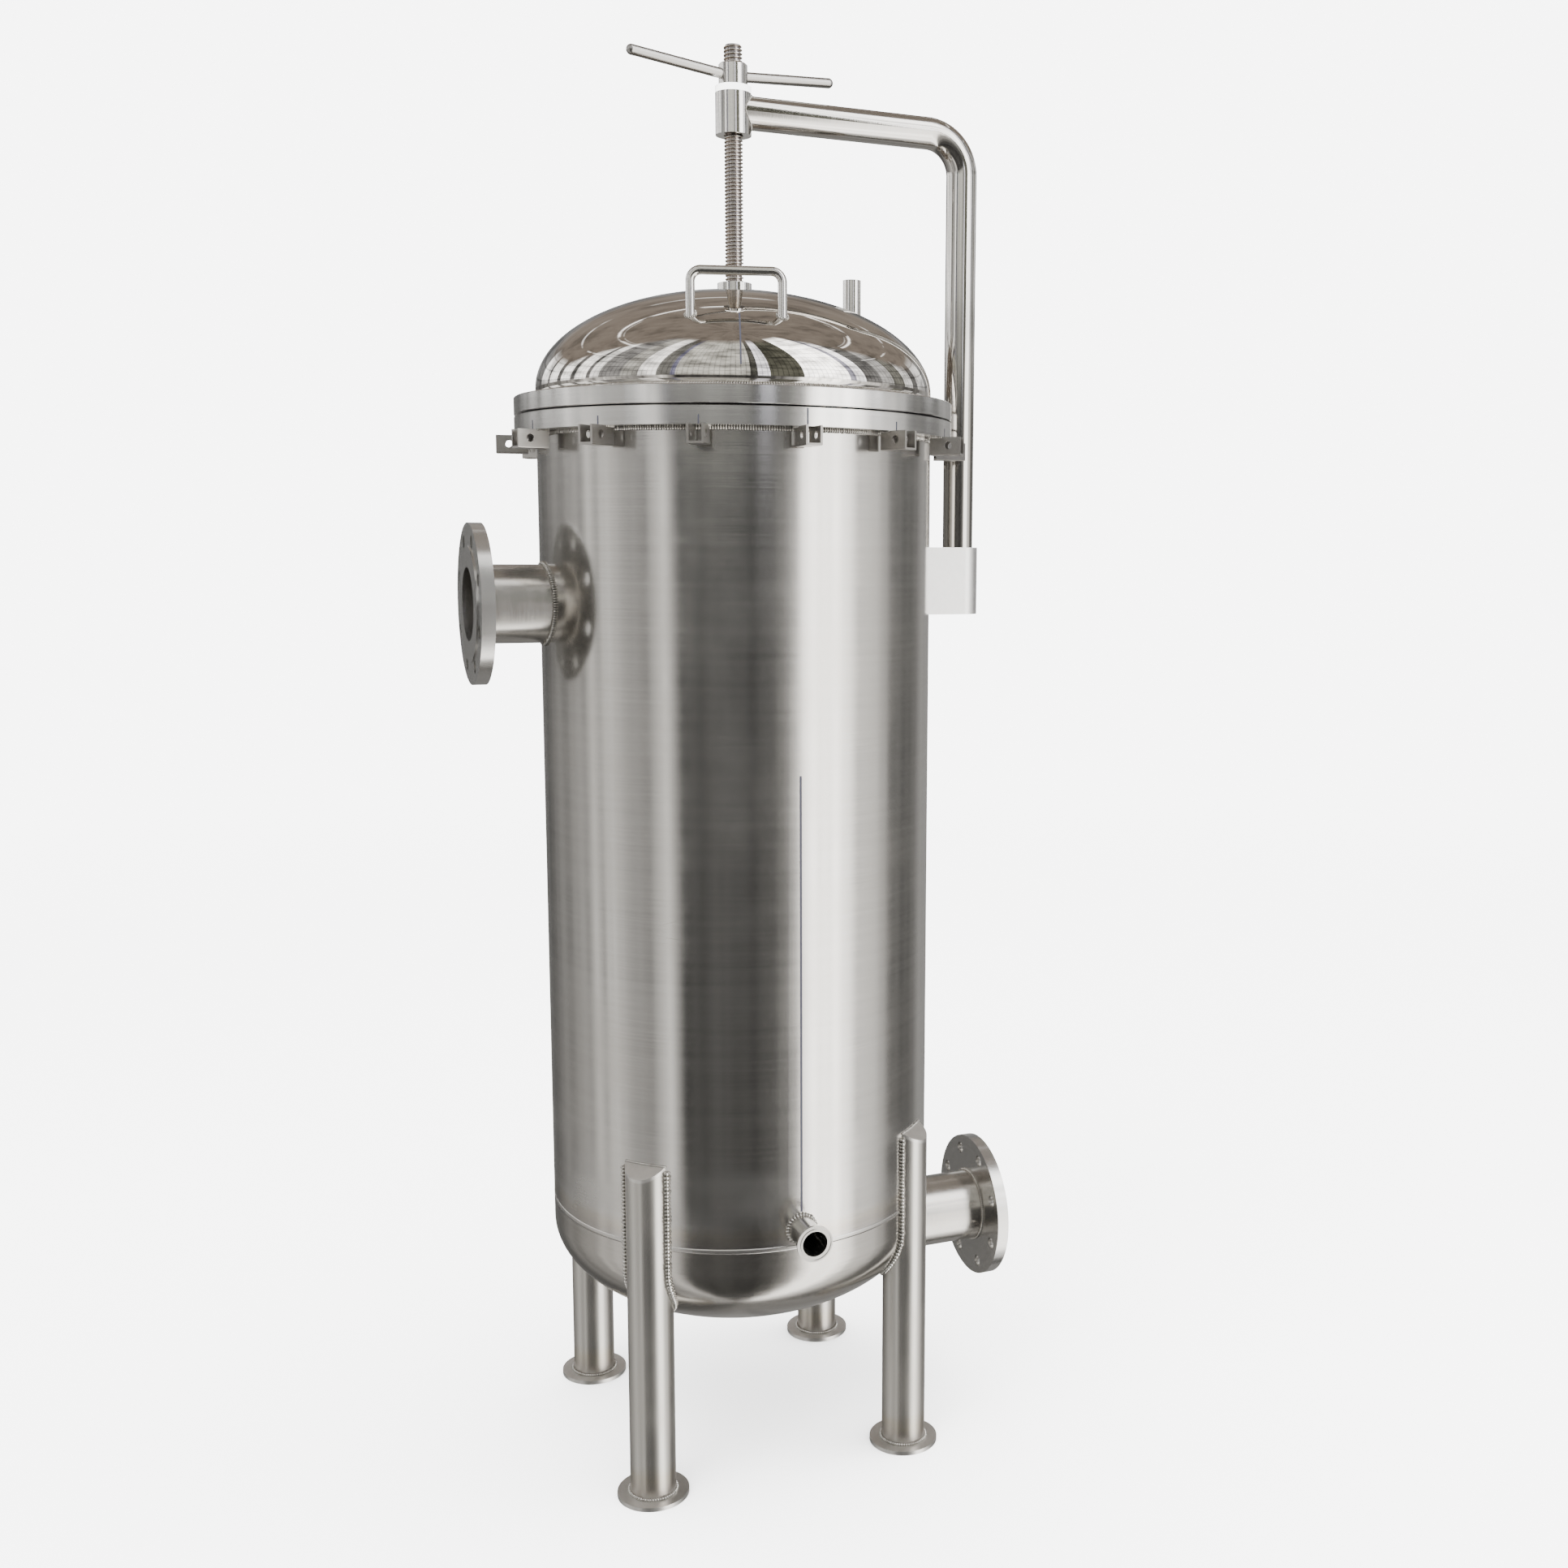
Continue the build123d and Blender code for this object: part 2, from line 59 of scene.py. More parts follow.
# ------------------------------------------------------------------ node helpers
class Sketch:
    """A short way to place and wire nodes in one node tree."""

    def __init__(self, tree: bpy.types.NodeTree) -> None:
        """Args: tree: the tree to work in."""
        self.tree = tree

    def fill(self, node: bpy.types.Node, values: dict) -> None:
        """Sets or links inputs. Args: node; values: numbers or sockets, by input name or index."""
        for key, value in values.items():
            if isinstance(value, bpy.types.NodeSocket):
                self.tree.links.new(value, node.inputs[key])
            else:
                node.inputs[key].default_value = value

    def put(self, kind: str, *values: object, named: dict | None = None, **settings: object) -> bpy.types.Node:
        """Adds a node.

        Args:
            kind: Blender's node type name.
            values: numbers, vectors or sockets for the first inputs, None to leave one alone.
            named: the same, by input name.
            settings: node properties.

        Returns:
            The new node.
        """
        node = self.tree.nodes.new(kind)
        for key, value in settings.items():
            setattr(node, key, value)
        self.fill(node, {i: v for i, v in enumerate(values) if v is not None} | (named or {}))
        return node

    def use(self, tree: bpy.types.NodeTree, **values: object) -> bpy.types.Node:
        """Adds a group node. Args: tree: the group; values: its inputs by name. Returns: the node."""
        return self.put("ShaderNodeGroup", named=values, node_tree=tree)

    def math(self, operation: str, *values: object) -> bpy.types.NodeSocket:
        """Adds a Math node. Args: operation: its name; values: inputs. Returns: its output."""
        return self.put("ShaderNodeMath", *values, operation=operation).outputs[0]

    def scaled(self, value: object, factor: float) -> bpy.types.NodeSocket:
        """Multiplies by a number. Args: value; factor. Returns: the product."""
        return self.math("MULTIPLY", value, factor)

    def gap(self, a: object, b: object) -> bpy.types.NodeSocket:
        """Distance between two numbers. Args: a, b. Returns: it, never negative."""
        return self.math("ABSOLUTE", self.math("SUBTRACT", a, b))

    def joined(self, x: object, y: object, z: object = 0.0) -> bpy.types.NodeSocket:
        """Joins numbers to a vector. Args: x, y, z. Returns: the vector."""
        return self.put("ShaderNodeCombineXYZ", x, y, z).outputs[0]

    def noise(self, vector: object, scale: object, detail: float, roughness: float = 0.5,
              **more: object) -> bpy.types.NodeSocket:
        """Adds a noise texture. Args: vector, scale, detail, roughness; more: other inputs. Returns: its value."""
        named = {"Scale": scale, "Detail": detail, "Roughness": roughness, **more}
        return self.put("ShaderNodeTexNoise", vector, named=named).outputs[0]

    def ramp(self, factor: object, stops: Stops, mode: str = "LINEAR") -> bpy.types.NodeSocket:
        """Adds a colour ramp.

        Args:
            factor: its input.
            stops: (place, colour) pairs in order, a number standing for a grey.
            mode: how it blends between stops.

        Returns:
            The colour output.
        """
        node = self.put("ShaderNodeValToRGB", factor)
        node.color_ramp.interpolation = mode
        elements = node.color_ramp.elements
        while len(elements) < len(stops):
            elements.new(0.5)
        for element, (place, colour) in zip(elements, stops):
            element.position = place
            element.color = (*(colour if isinstance(colour, tuple) else (colour,) * 3), 1.0)
        return node.outputs[0]

    def blend(self, factor: object, a: object, b: object, mode: str = "MIX") -> bpy.types.NodeSocket:
        """Mixes two colours. Args: factor, a, b: inputs; mode: blend type. Returns: the result."""
        node = self.put("ShaderNodeMix", data_type="RGBA", blend_type=mode)
        colours = {key: (*value, 1.0) if isinstance(value, tuple) else value for key, value in ((6, a), (7, b))}
        self.fill(node, {0: factor, **colours})
        return node.outputs[2]

    def times(self, a: object, b: object) -> bpy.types.NodeSocket:
        """Multiplies two colours. Args: a, b. Returns: the product."""
        return self.blend(1.0, a, b, "MULTIPLY")


def group(name: str, inputs: Sequence[tuple[str, str, object]], outputs: Sequence[tuple[str, str]],
          build: Callable[[Sketch, dict], dict]) -> bpy.types.NodeTree:
    """Makes a shader node group once.

    Args:
        name: the group's name.
        inputs: (name, socket type, default) of each input.
        outputs: (name, socket type) of each output.
        build: wires the group and returns {output name: socket}.

    Returns:
        The node group.
    """
    if name in bpy.data.node_groups:
        return bpy.data.node_groups[name]
    tree = bpy.data.node_groups.new(name, "ShaderNodeTree")
    for label, kind, default in inputs:
        socket = tree.interface.new_socket(label, in_out="INPUT", socket_type=kind)
        if default is not None:
            socket.default_value = default
    for label, kind in outputs:
        tree.interface.new_socket(label, in_out="OUTPUT", socket_type=kind)
    sketch = Sketch(tree)
    entry = sketch.put("NodeGroupInput")
    leave = sketch.put("NodeGroupOutput")
    sketch.fill(leave, build(sketch, {s.name: s for s in entry.outputs}))
    return tree


VECTOR, NUMBER, COLOUR = "NodeSocketVector", "NodeSocketFloat", "NodeSocketColor"


def unrolled() -> bpy.types.NodeTree:
    """Group: a point as (angle about Z, distance from Z, height). Returns: the group."""
    def build(s: Sketch, i: dict) -> dict:
        """Wires the group. Args: s: sketch; i: inputs. Returns: outputs."""
        x, y, z = s.put("ShaderNodeSeparateXYZ", i["Vector"]).outputs
        radius = s.math("SQRT", s.math("ADD", s.math("MULTIPLY", x, x), s.math("MULTIPLY", y, y)))
        return {"Angle": s.math("ARCTAN2", y, x), "Radius": radius, "Height": z}
    return group("unrolled_about_axis", [("Vector", VECTOR, None)],
                 [("Angle", NUMBER), ("Radius", NUMBER), ("Height", NUMBER)], build)


def brushed_lines() -> bpy.types.NodeTree:
    """Group: fine lines along one direction, as a belt or wheel leaves them. Returns: the group."""
    def build(s: Sketch, i: dict) -> dict:
        """Wires the group. Args: s: sketch; i: inputs. Returns: outputs."""
        stretched = s.put("ShaderNodeVectorMath", i["Vector"], i["Stretch"], operation="MULTIPLY").outputs[0]
        fine = s.scaled(s.noise(stretched, 1.0, 4.0, 0.65), 0.65)
        coarse = s.scaled(s.noise(stretched, 0.13, 2.0), 0.35)
        return {"Lines": s.math("ADD", fine, coarse)}
    return group("brushed_lines", [("Vector", VECTOR, None), ("Stretch", VECTOR, (1.0, 1.0, 1.0))],
                 [("Lines", NUMBER)], build)


def handling_marks() -> bpy.types.NodeTree:
    """Group: cloudy smudges and rare fine scratches. Returns: the group."""
    def build(s: Sketch, i: dict) -> dict:
        """Wires the group. Args: s: sketch; i: inputs. Returns: outputs."""
        smudge = s.ramp(s.noise(i["Vector"], i["Scale"], 5.0, 0.6), [(0.35, 0), (0.75, 1)], "EASE")
        cells = s.put("ShaderNodeTexVoronoi", i["Vector"], named={"Scale": s.scaled(i["Scale"], 1.7)},
                      feature="DISTANCE_TO_EDGE").outputs[0]
        rare = s.math("GREATER_THAN", s.noise(i["Vector"], 9.0, 1.0), 0.7)
        scratch = s.math("MULTIPLY", s.math("LESS_THAN", cells, 0.0015), rare)
        return {"Smudge": smudge, "Scratch": scratch}
    return group("handling_marks", [("Vector", VECTOR, None), ("Scale", NUMBER, 6.0)],
                 [("Smudge", NUMBER), ("Scratch", NUMBER)], build)


def heat_tint() -> bpy.types.NodeTree:
    """Group: straw, bronze and grey-blue colours beside a weld, also used as painted shade in the lifting screw's
    thread roots. Returns: the group.
    """
    def build(s: Sketch, i: dict) -> dict:
        """Wires the group. Args: s: sketch; i: inputs. Returns: outputs."""
        wobble = s.scaled(s.math("SUBTRACT", s.noise(i["Vector"], 38.0, 2.0), 0.5), 0.5)
        near = s.math("ADD", s.math("DIVIDE", i["Distance"], i["Reach"]), wobble)
        tint = s.ramp(near, [(0.0, (0.42, 0.40, 0.42)), (0.3, (0.52, 0.40, 0.30)), (0.6, (0.80, 0.68, 0.47)),
                             (1.0, 1)])
        return {"Colour": s.blend(i["Strength"], i["Base"], s.times(i["Base"], tint))}
    return group("heat_tint", [("Vector", VECTOR, None), ("Base", COLOUR, None), ("Distance", NUMBER, 1.0),
                               ("Reach", NUMBER, 0.03), ("Strength", NUMBER, 1.0)], [("Colour", COLOUR)], build)


# ------------------------------------------------------------------ finishes
class Lay(Enum):
    """Which way the polishing lines run on a surface."""

    AROUND = "rings about the axis"
    ALONG = "lines along the axis"
    FACE = "concentric turning rings"
    CLOUDY = "no lines"


class Axis(Enum):
    """The axis a piece was turned or brushed about, as the rotation that brings it to Z."""

    Z = (0.0, 0.0, 0.0)
    X = (0.0, math.pi / 2, 0.0)
    Y = (math.pi / 2, 0.0, 0.0)


def darker(colour: Colour, share: float) -> Colour:
    """Scales a colour. Args: colour; share: what stays of it. Returns: the result."""
    return tuple(share * c for c in colour)


def blank_material(name: str) -> tuple[bpy.types.Material, Sketch, bpy.types.Node]:
    """Makes a material with an empty Principled shader.

    Args:
        name: the material's name.

    Returns:
        The material, its sketch and the shader.
    """
    material = bpy.data.materials.new(name)
    material.use_nodes = True
    tree = material.node_tree
    return material, Sketch(tree), tree.nodes["Principled BSDF"]


@dataclass(frozen=True)
class Steel:
    """A stainless finish: ground, brushed, turned or mirror polished."""

    name: str
    tone: Colour = (0.58, 0.565, 0.54)
    roughness: float = 0.26
    spread: float = 0.10
    lay: Lay = Lay.AROUND
    axis: Axis = Axis.Z
    centre: Point = (0.0, 0.0, 0.0)
    line_depth: float = 0.12
    line_scale: float = 900.0
    contrast: float = 0.12
    banding: float = 0.0
    smudge: float = 0.25
    tint_levels: tuple[float, ...] = ()
    tint_reach: float = 0.03
    tint_strength: float = 0.0
    tint_radial: bool = False
    ground_band: tuple[float, float] | None = None

    def lines(self, s: Sketch, turned: object, polar: Sequence) -> bpy.types.NodeSocket:
        """Adds the polishing lines.

        Args:
            s: the material's sketch.
            turned: the point with the piece's axis on Z.
            polar: its angle, radius and height.

        Returns:
            The lines' value.
        """
        angle, radius, height = polar
        fine, slow = self.line_scale, 2.2
        if self.lay is Lay.CLOUDY:
            along, stretch = turned, (fine * 0.1,) * 3
        elif self.lay is Lay.ALONG:
            along, stretch = turned, (fine, fine, slow)
        else:
            along = s.joined(s.math("COSINE", angle), s.math("SINE", angle),
                             radius if self.lay is Lay.FACE else height)
            stretch = (slow, slow, fine)
        return s.use(brushed_lines(), Vector=along, Stretch=stretch).outputs[0]

    def grinding(self, s: Sketch, polar: Sequence) -> bpy.types.NodeSocket:
        """Adds soft patches where a seam was ground flush. Args: s; polar: angle, radius, height. Returns: them."""
        angle, _, height = polar
        middle, reach = self.ground_band
        around = s.joined(s.math("COSINE", angle), s.math("SINE", angle), s.scaled(height, 6.0))
        cloud = s.ramp(s.noise(around, 2.2, 1.0, 0.4), [(0.35, 0), (0.75, 1)], "EASE")
        near = s.math("SUBTRACT", 1.0, s.math("DIVIDE", s.gap(height, middle), reach))
        return s.math("MULTIPLY", s.put("ShaderNodeClamp", s.scaled(near, 1.6)).outputs[0], cloud)

    def material(self) -> bpy.types.Material:
        """Builds the material. Returns: it."""
        material, s, shader = blank_material(self.name)
        place = s.put("ShaderNodeTexCoord").outputs["Object"]
        local = s.put("ShaderNodeMapping", place, darker(self.centre, -1)).outputs[0]
        turned = s.put("ShaderNodeMapping", local, None, self.axis.value).outputs[0]
        polar = s.use(unrolled(), Vector=turned).outputs
        angle, radius, height = polar
        lines = self.lines(s, turned, polar)
        smudge, scratch = s.use(handling_marks(), Vector=place).outputs
        streak = s.noise(s.joined(s.math("COSINE", angle), s.math("SINE", angle), s.scaled(height, 0.25)), 7.0, 3.0)
        rough: object = self.roughness
        for wave, strength in ((lines, self.spread), (streak, self.banding)):
            rough = s.math("ADD", rough, s.scaled(s.math("SUBTRACT", wave, 0.5), strength))
        rough = s.math("ADD", rough, s.scaled(smudge, self.smudge * 0.12))
        shade = s.ramp(lines, [(0.3, darker(self.tone, 1 - self.contrast)), (0.7, self.tone)])
        dull = tuple(c * k for c, k in zip(self.tone, (0.86, 0.83, 0.78)))
        shade = s.blend(s.scaled(smudge, self.smudge * 0.5), shade, dull)
        shade = s.blend(s.scaled(scratch, min(0.5, self.smudge)), shade, (0.30, 0.29, 0.28))
        if self.ground_band:
            patch = self.grinding(s, polar)
            rough = s.math("ADD", rough, s.scaled(patch, 0.09))
            shade = s.blend(s.scaled(patch, 0.5), shade, darker(self.tone, 0.85))
        # Each level darkens a band with the tint ramp: heat tint beside welds, and painted shade in the lifting
        # screw's thread roots.
        for level in self.tint_levels:
            shade = s.use(heat_tint(), Vector=place, Base=shade, Reach=self.tint_reach, Strength=self.tint_strength,
                          Distance=s.gap(radius if self.tint_radial else height, level)).outputs[0]
        s.fill(shader, {"Base Color": shade, "Roughness": rough, "Metallic": 1.0})
        if self.line_depth:
            bump = s.put("ShaderNodeBump", named={"Strength": self.line_depth, "Distance": 0.0002, "Height": lines})
            s.fill(shader, {"Normal": bump.outputs[0]})
        return material


@dataclass(frozen=True)
class Soft:
    """A matt finish that isn't metal: rubber, bearing plastic or marker ink."""

    name: str
    colour: Colour
    roughness: float
    mottle: float = 0.1
    grain: float = 400.0

    def material(self) -> bpy.types.Material:
        """Builds the material. Returns: it."""
        material, s, shader = blank_material(self.name)
        grain = s.noise(s.put("ShaderNodeTexCoord").outputs["Object"], self.grain, 3.0)
        bump = s.put("ShaderNodeBump", named={"Strength": 0.15, "Distance": 0.0003, "Height": grain})
        shade = s.ramp(grain, [(0.3, darker(self.colour, 1 - self.mottle)), (0.7, self.colour)])
        s.fill(shader, {"Base Color": shade, "Normal": bump.outputs[0],
                        "Roughness": s.math("ADD", self.roughness, s.scaled(grain, 0.1))})
        return material


@dataclass(frozen=True)
class Felt:
    """Needle felt: off-white fibres with a matt nap."""

    name: str = "needle_felt"
    colour: Colour = (0.80, 0.78, 0.71)

    def material(self) -> bpy.types.Material:
        """Builds the material. Returns: it."""
        material, s, shader = blank_material(self.name)
        place = s.put("ShaderNodeTexCoord").outputs["Object"]
        fibre = s.noise(place, 900.0, 6.0, Distortion=1.6)
        both = s.math("ADD", s.scaled(fibre, 0.7), s.scaled(s.noise(place, 18.0, 3.0), 0.3))
        bump = s.put("ShaderNodeBump", named={"Strength": 0.6, "Distance": 0.0006, "Height": fibre})
        s.fill(shader, {"Base Color": s.ramp(both, [(0.3, darker(self.colour, 0.72)), (0.7, self.colour)]),
                        "Roughness": 0.95, "Sheen Weight": 0.35, "Normal": bump.outputs[0]})
        return material


@dataclass(frozen=True)
class Perforated:
    """Steel sheet punched with staggered round holes, drawn on the unrolled wall with near-black painted shade in
    each hole.
    """

    name: str
    centre: Point
    pitch: float = 0.006
    wall_r: float = 0.086
    row_share: float = 0.866

    def material(self) -> bpy.types.Material:
        """Builds the material. Returns: it."""
        material, s, shader = blank_material(self.name)
        place = s.put("ShaderNodeTexCoord").outputs["Object"]
        local = s.put("ShaderNodeMapping", place, darker(self.centre, -1)).outputs[0]
        angle, _, height = s.use(unrolled(), Vector=local).outputs
        columns = round(TURN * self.wall_r / self.pitch)
        row = s.math("ADD", s.math("DIVIDE", height, self.pitch * self.row_share), 4000.0)
        shift = s.scaled(s.math("MODULO", s.math("FLOOR", row), 2.0), 0.5)
        column = s.math("ADD", s.scaled(angle, columns / TURN), shift)
        across = s.math("SUBTRACT", s.math("FRACT", column), 0.5)
        up = s.scaled(s.math("SUBTRACT", s.math("FRACT", row), 0.5), self.row_share)
        far = s.math("SQRT", s.math("ADD", s.math("MULTIPLY", across, across), s.math("MULTIPLY", up, up)))
        hole = s.ramp(far, [(0.27, 1), (0.31, 0)])
        # Painted shade: each hole is coloured near-black for the dark seen through it.
        s.fill(shader, {"Base Color": s.blend(hole, (0.55, 0.54, 0.52), (0.02, 0.02, 0.02)), "Metallic": 1.0,
                        "Roughness": s.math("ADD", 0.3, s.scaled(hole, 0.5))})
        return material


# ------------------------------------------------------------------ mesh helpers
def piece(name: str, verts: Sequence[Sequence[float]], faces: Sequence[Sequence[int]],
          material: bpy.types.Material, smooth: bool = True) -> bpy.types.Object:
    """Makes a mesh object at the origin.

    Args:
        name: the piece's name.
        verts: points in metres.
        faces: vertex indices, outward by the right-hand rule.
        material: its finish.
        smooth: whether it is shaded smooth.

    Returns:
        The object.
    """
    mesh = bpy.data.meshes.new(name)
    mesh.from_pydata([tuple(v) for v in verts], [], [tuple(f) for f in faces])
    mesh.materials.append(material)
    mesh.shade_smooth() if smooth else mesh.shade_flat()
    obj = bpy.data.objects.new(name, mesh)
    bpy.context.scene.collection.objects.link(obj)
    return obj


def turned_solid(name: str, profile: Sequence[tuple[float, float]], centre: Sequence[float],
                 material: bpy.types.Material, steps: int = 192,
                 waver: Callable[[float, float, float], float] | None = None) -> bpy.types.Object:
    """Turns a closed profile of (radius, height) about the vertical.

    Args:
        name: the piece's name.
        profile: the outline, counter-clockwise with radius to the right; a radius of 0 becomes a pole.
        centre: x, y of the axis.
        material: its finish.
        steps: facets round the circle.
        waver: changes a radius from (radius, height, angle).

    Returns:
        The object.
    """
    pole = 1e-7
    verts: list[Point] = []
    rings: list[list[int]] = []
    for r, z in profile:
        start = len(verts)
        count = 1 if r < pole else steps
        for k in range(count):
            a = TURN * k / steps
            rr = waver(r, z, a) if waver and r > pole else r
            verts.append((centre[0] + rr * math.cos(a), centre[1] + rr * math.sin(a), z))
        rings.append([start + (k if count > 1 else 0) for k in range(steps)])
    faces = []
    for a, b in zip(rings, rings[1:] + rings[:1]):
        for k in range(steps):
            n = (k + 1) % steps
            loop = list(dict.fromkeys((a[k], a[n], b[n], b[k])))
            if len(loop) > 2:
                faces.append(loop)
    return piece(name, verts, faces, material)


def circle(r: float, count: int) -> list[tuple[float, float]]:
    """Points round a circle. Args: r: its radius; count: how many. Returns: pairs of offsets."""
    return [(r * math.cos(TURN * k / count), r * math.sin(TURN * k / count)) for k in range(count)]


def ring_path(r: float, z: float, count: int, centre: tuple[float, float] = (0.0, 0.0)) -> list[Point]:
    """A level circle. Args: r, z: its size and height; count: points; centre: its middle. Returns: the points."""
    return [(centre[0] + x, centre[1] + y, z) for x, y in circle(r, count)]


def turn(points: Iterable[Sequence[float]], degrees: float) -> list[Point]:
    """Turns points about the vessel's axis. Args: points; degrees. Returns: the turned points."""
    c, s = math.cos(math.radians(degrees)), math.sin(math.radians(degrees))
    return [(x * c - y * s, x * s + y * c, z) for x, y, z in points]


class Ribbons:
    """Collects thin marker strokes into one closed mesh."""

    DEEP = 0.0005

    def __init__(self) -> None:
        """Starts empty."""
        self.verts: list[Vector] = []
        self.faces: list[tuple[int, ...]] = []

    def add(self, path: Sequence[tuple[Vector, Vector]], angle: float, wide: float) -> None:
        """Adds one stroke drawn in the XZ plane and turned about Z.

        Args:
            path: (point, outward direction) pairs, upwards.
            angle: the turn in degrees.
            wide: the stroke's width.
        """
        start = len(self.verts)
        half = Vector((0.0, wide / 2, 0.0))
        for at, out in path:
            low = at - out * self.DEEP
            self.verts += [Vector(v) for v in turn([at + half, at - half, low - half, low + half], angle)]
        for k in range(len(path) - 1):
            near, far = start + 4 * k, start + 4 * k + 4
            self.faces += [(near + a, far + a, far + b, near + b) for a, b in ((0, 1), (1, 2), (2, 3), (3, 0))]
        last = start + 4 * (len(path) - 1)
        self.faces += [(start, start + 1, start + 2, start + 3), (last + 3, last + 2, last + 1, last)]

    def finish(self, name: str, body: str) -> None:
        """Makes the mesh. Args: name: the piece's name; body: the CAD body it rides on."""
        ink = Soft(name + "_ink", (0.015, 0.015, 0.025), 0.6).material()
        marks = piece(name, self.verts, self.faces, ink, smooth=False)
        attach(marks, body)


class WeldBench:
    """Lays rippled weld beads along paths with one geometry tree."""

    OVERLAP = 0.53
    WANDER = (0.86, 1.14)

    def __init__(self, material: bpy.types.Material) -> None:
        """Args: material: the bead's finish."""
        self.material = material
        self.tree = self._tree()

    def _tree(self) -> bpy.types.NodeTree:
        """Builds the tree: path, even steps, one lens-shaped ripple on each. Returns: it."""
        tree = bpy.data.node_groups.new("rippled_bead", "GeometryNodeTree")
        face = tree.interface
        face.new_socket("Path", in_out="INPUT", socket_type="NodeSocketGeometry")
        for label in ("Bead Radius", "Ripple Pitch"):
            face.new_socket(label, in_out="INPUT", socket_type="NodeSocketFloat").default_value = 0.003
        face.new_socket("Finish", in_out="INPUT", socket_type="NodeSocketMaterial")
        face.new_socket("Bead", in_out="OUTPUT", socket_type="NodeSocketGeometry")
        s = Sketch(tree)
        i = {o.name: o for o in s.put("NodeGroupInput").outputs}
        curve = s.put("GeometryNodeMeshToCurve", i["Path"]).outputs[0]
        steps = s.put("GeometryNodeCurveToPoints", curve, None, i["Ripple Pitch"], mode="LENGTH")
        ball = s.put("GeometryNodeMeshUVSphere", 10, 6, 1.0).outputs[0]
        wander = s.put("FunctionNodeRandomValue", data_type="FLOAT", named={"Seed": 7})
        s.fill(wander, {2: self.WANDER[0], 3: self.WANDER[1]})
        wide = s.math("MULTIPLY", i["Bead Radius"], wander.outputs[1])
        size = s.joined(wide, wide, s.scaled(i["Ripple Pitch"], self.OVERLAP))
        beads = s.put("GeometryNodeInstanceOnPoints", named={"Points": steps.outputs[0], "Instance": ball,
                      "Rotation": steps.outputs[3], "Scale": size}).outputs[0]
        real = s.put("GeometryNodeRealizeInstances", beads).outputs[0]
        smooth = s.put("GeometryNodeSetShadeSmooth", real).outputs[0]
        finished = s.put("GeometryNodeSetMaterial", named={"Geometry": smooth, "Material": i["Finish"]})
        s.put("NodeGroupOutput", finished.outputs[0])
        return tree

    def lay(self, name: str, body: str, paths: Sequence[Sequence[Point]], closed: bool, radius: float,
            pitch: float = 0.0034) -> None:
        """Lays one bead along several paths and bakes it to a plain mesh.

        Args:
            name: the piece's name.
            body: the CAD body it rides on.
            paths: lists of points.
            closed: whether each path closes on itself.
            radius: the bead's half width.
            pitch: distance between ripples.
        """
        verts: list[Point] = []
        edges: list[tuple[int, int]] = []
        for path in paths:
            start = len(verts)
            verts += path
            edges += [(start + k, start + k + 1) for k in range(len(path) - 1)]
            if closed:
                edges.append((len(verts) - 1, start))
        mesh = bpy.data.meshes.new(name + "_path")
        mesh.from_pydata(verts, edges, [])
        carrier = bpy.data.objects.new(name + "_path", mesh)
        bpy.context.scene.collection.objects.link(carrier)
        modifier = carrier.modifiers.new("bead", "NODES")
        modifier.node_group = self.tree
        settings = {"Bead Radius": radius, "Ripple Pitch": pitch, "Finish": self.material}
        for item in self.tree.interface.items_tree:
            if item.name in settings:
                modifier[item.identifier] = settings[item.name]
        graph = bpy.context.evaluated_depsgraph_get()
        baked = bpy.data.meshes.new_from_object(carrier.evaluated_get(graph))
        bpy.data.objects.remove(carrier)
        obj = bpy.data.objects.new(name, baked)
        bpy.context.scene.collection.objects.link(obj)
        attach(obj, body)
        LOG.info("bead %s: %d faces", name, len(baked.polygons))


def dress(nodes: dict, names: Iterable[str], finish: Steel | Soft | Perforated) -> None:
    """Gives CAD nodes a finish. Args: nodes: the frame's nodes; names: which; finish: what they get."""
    material = finish.material()
    for name in names:
        mesh = nodes[name].data
        mesh.materials.clear()
        mesh.materials.append(material)
        LOG.info("dressed %s with %s", name, material.name)


# ------------------------------------------------------------------ sub-assemblies
RIM_TONE = (0.72, 0.71, 0.69)


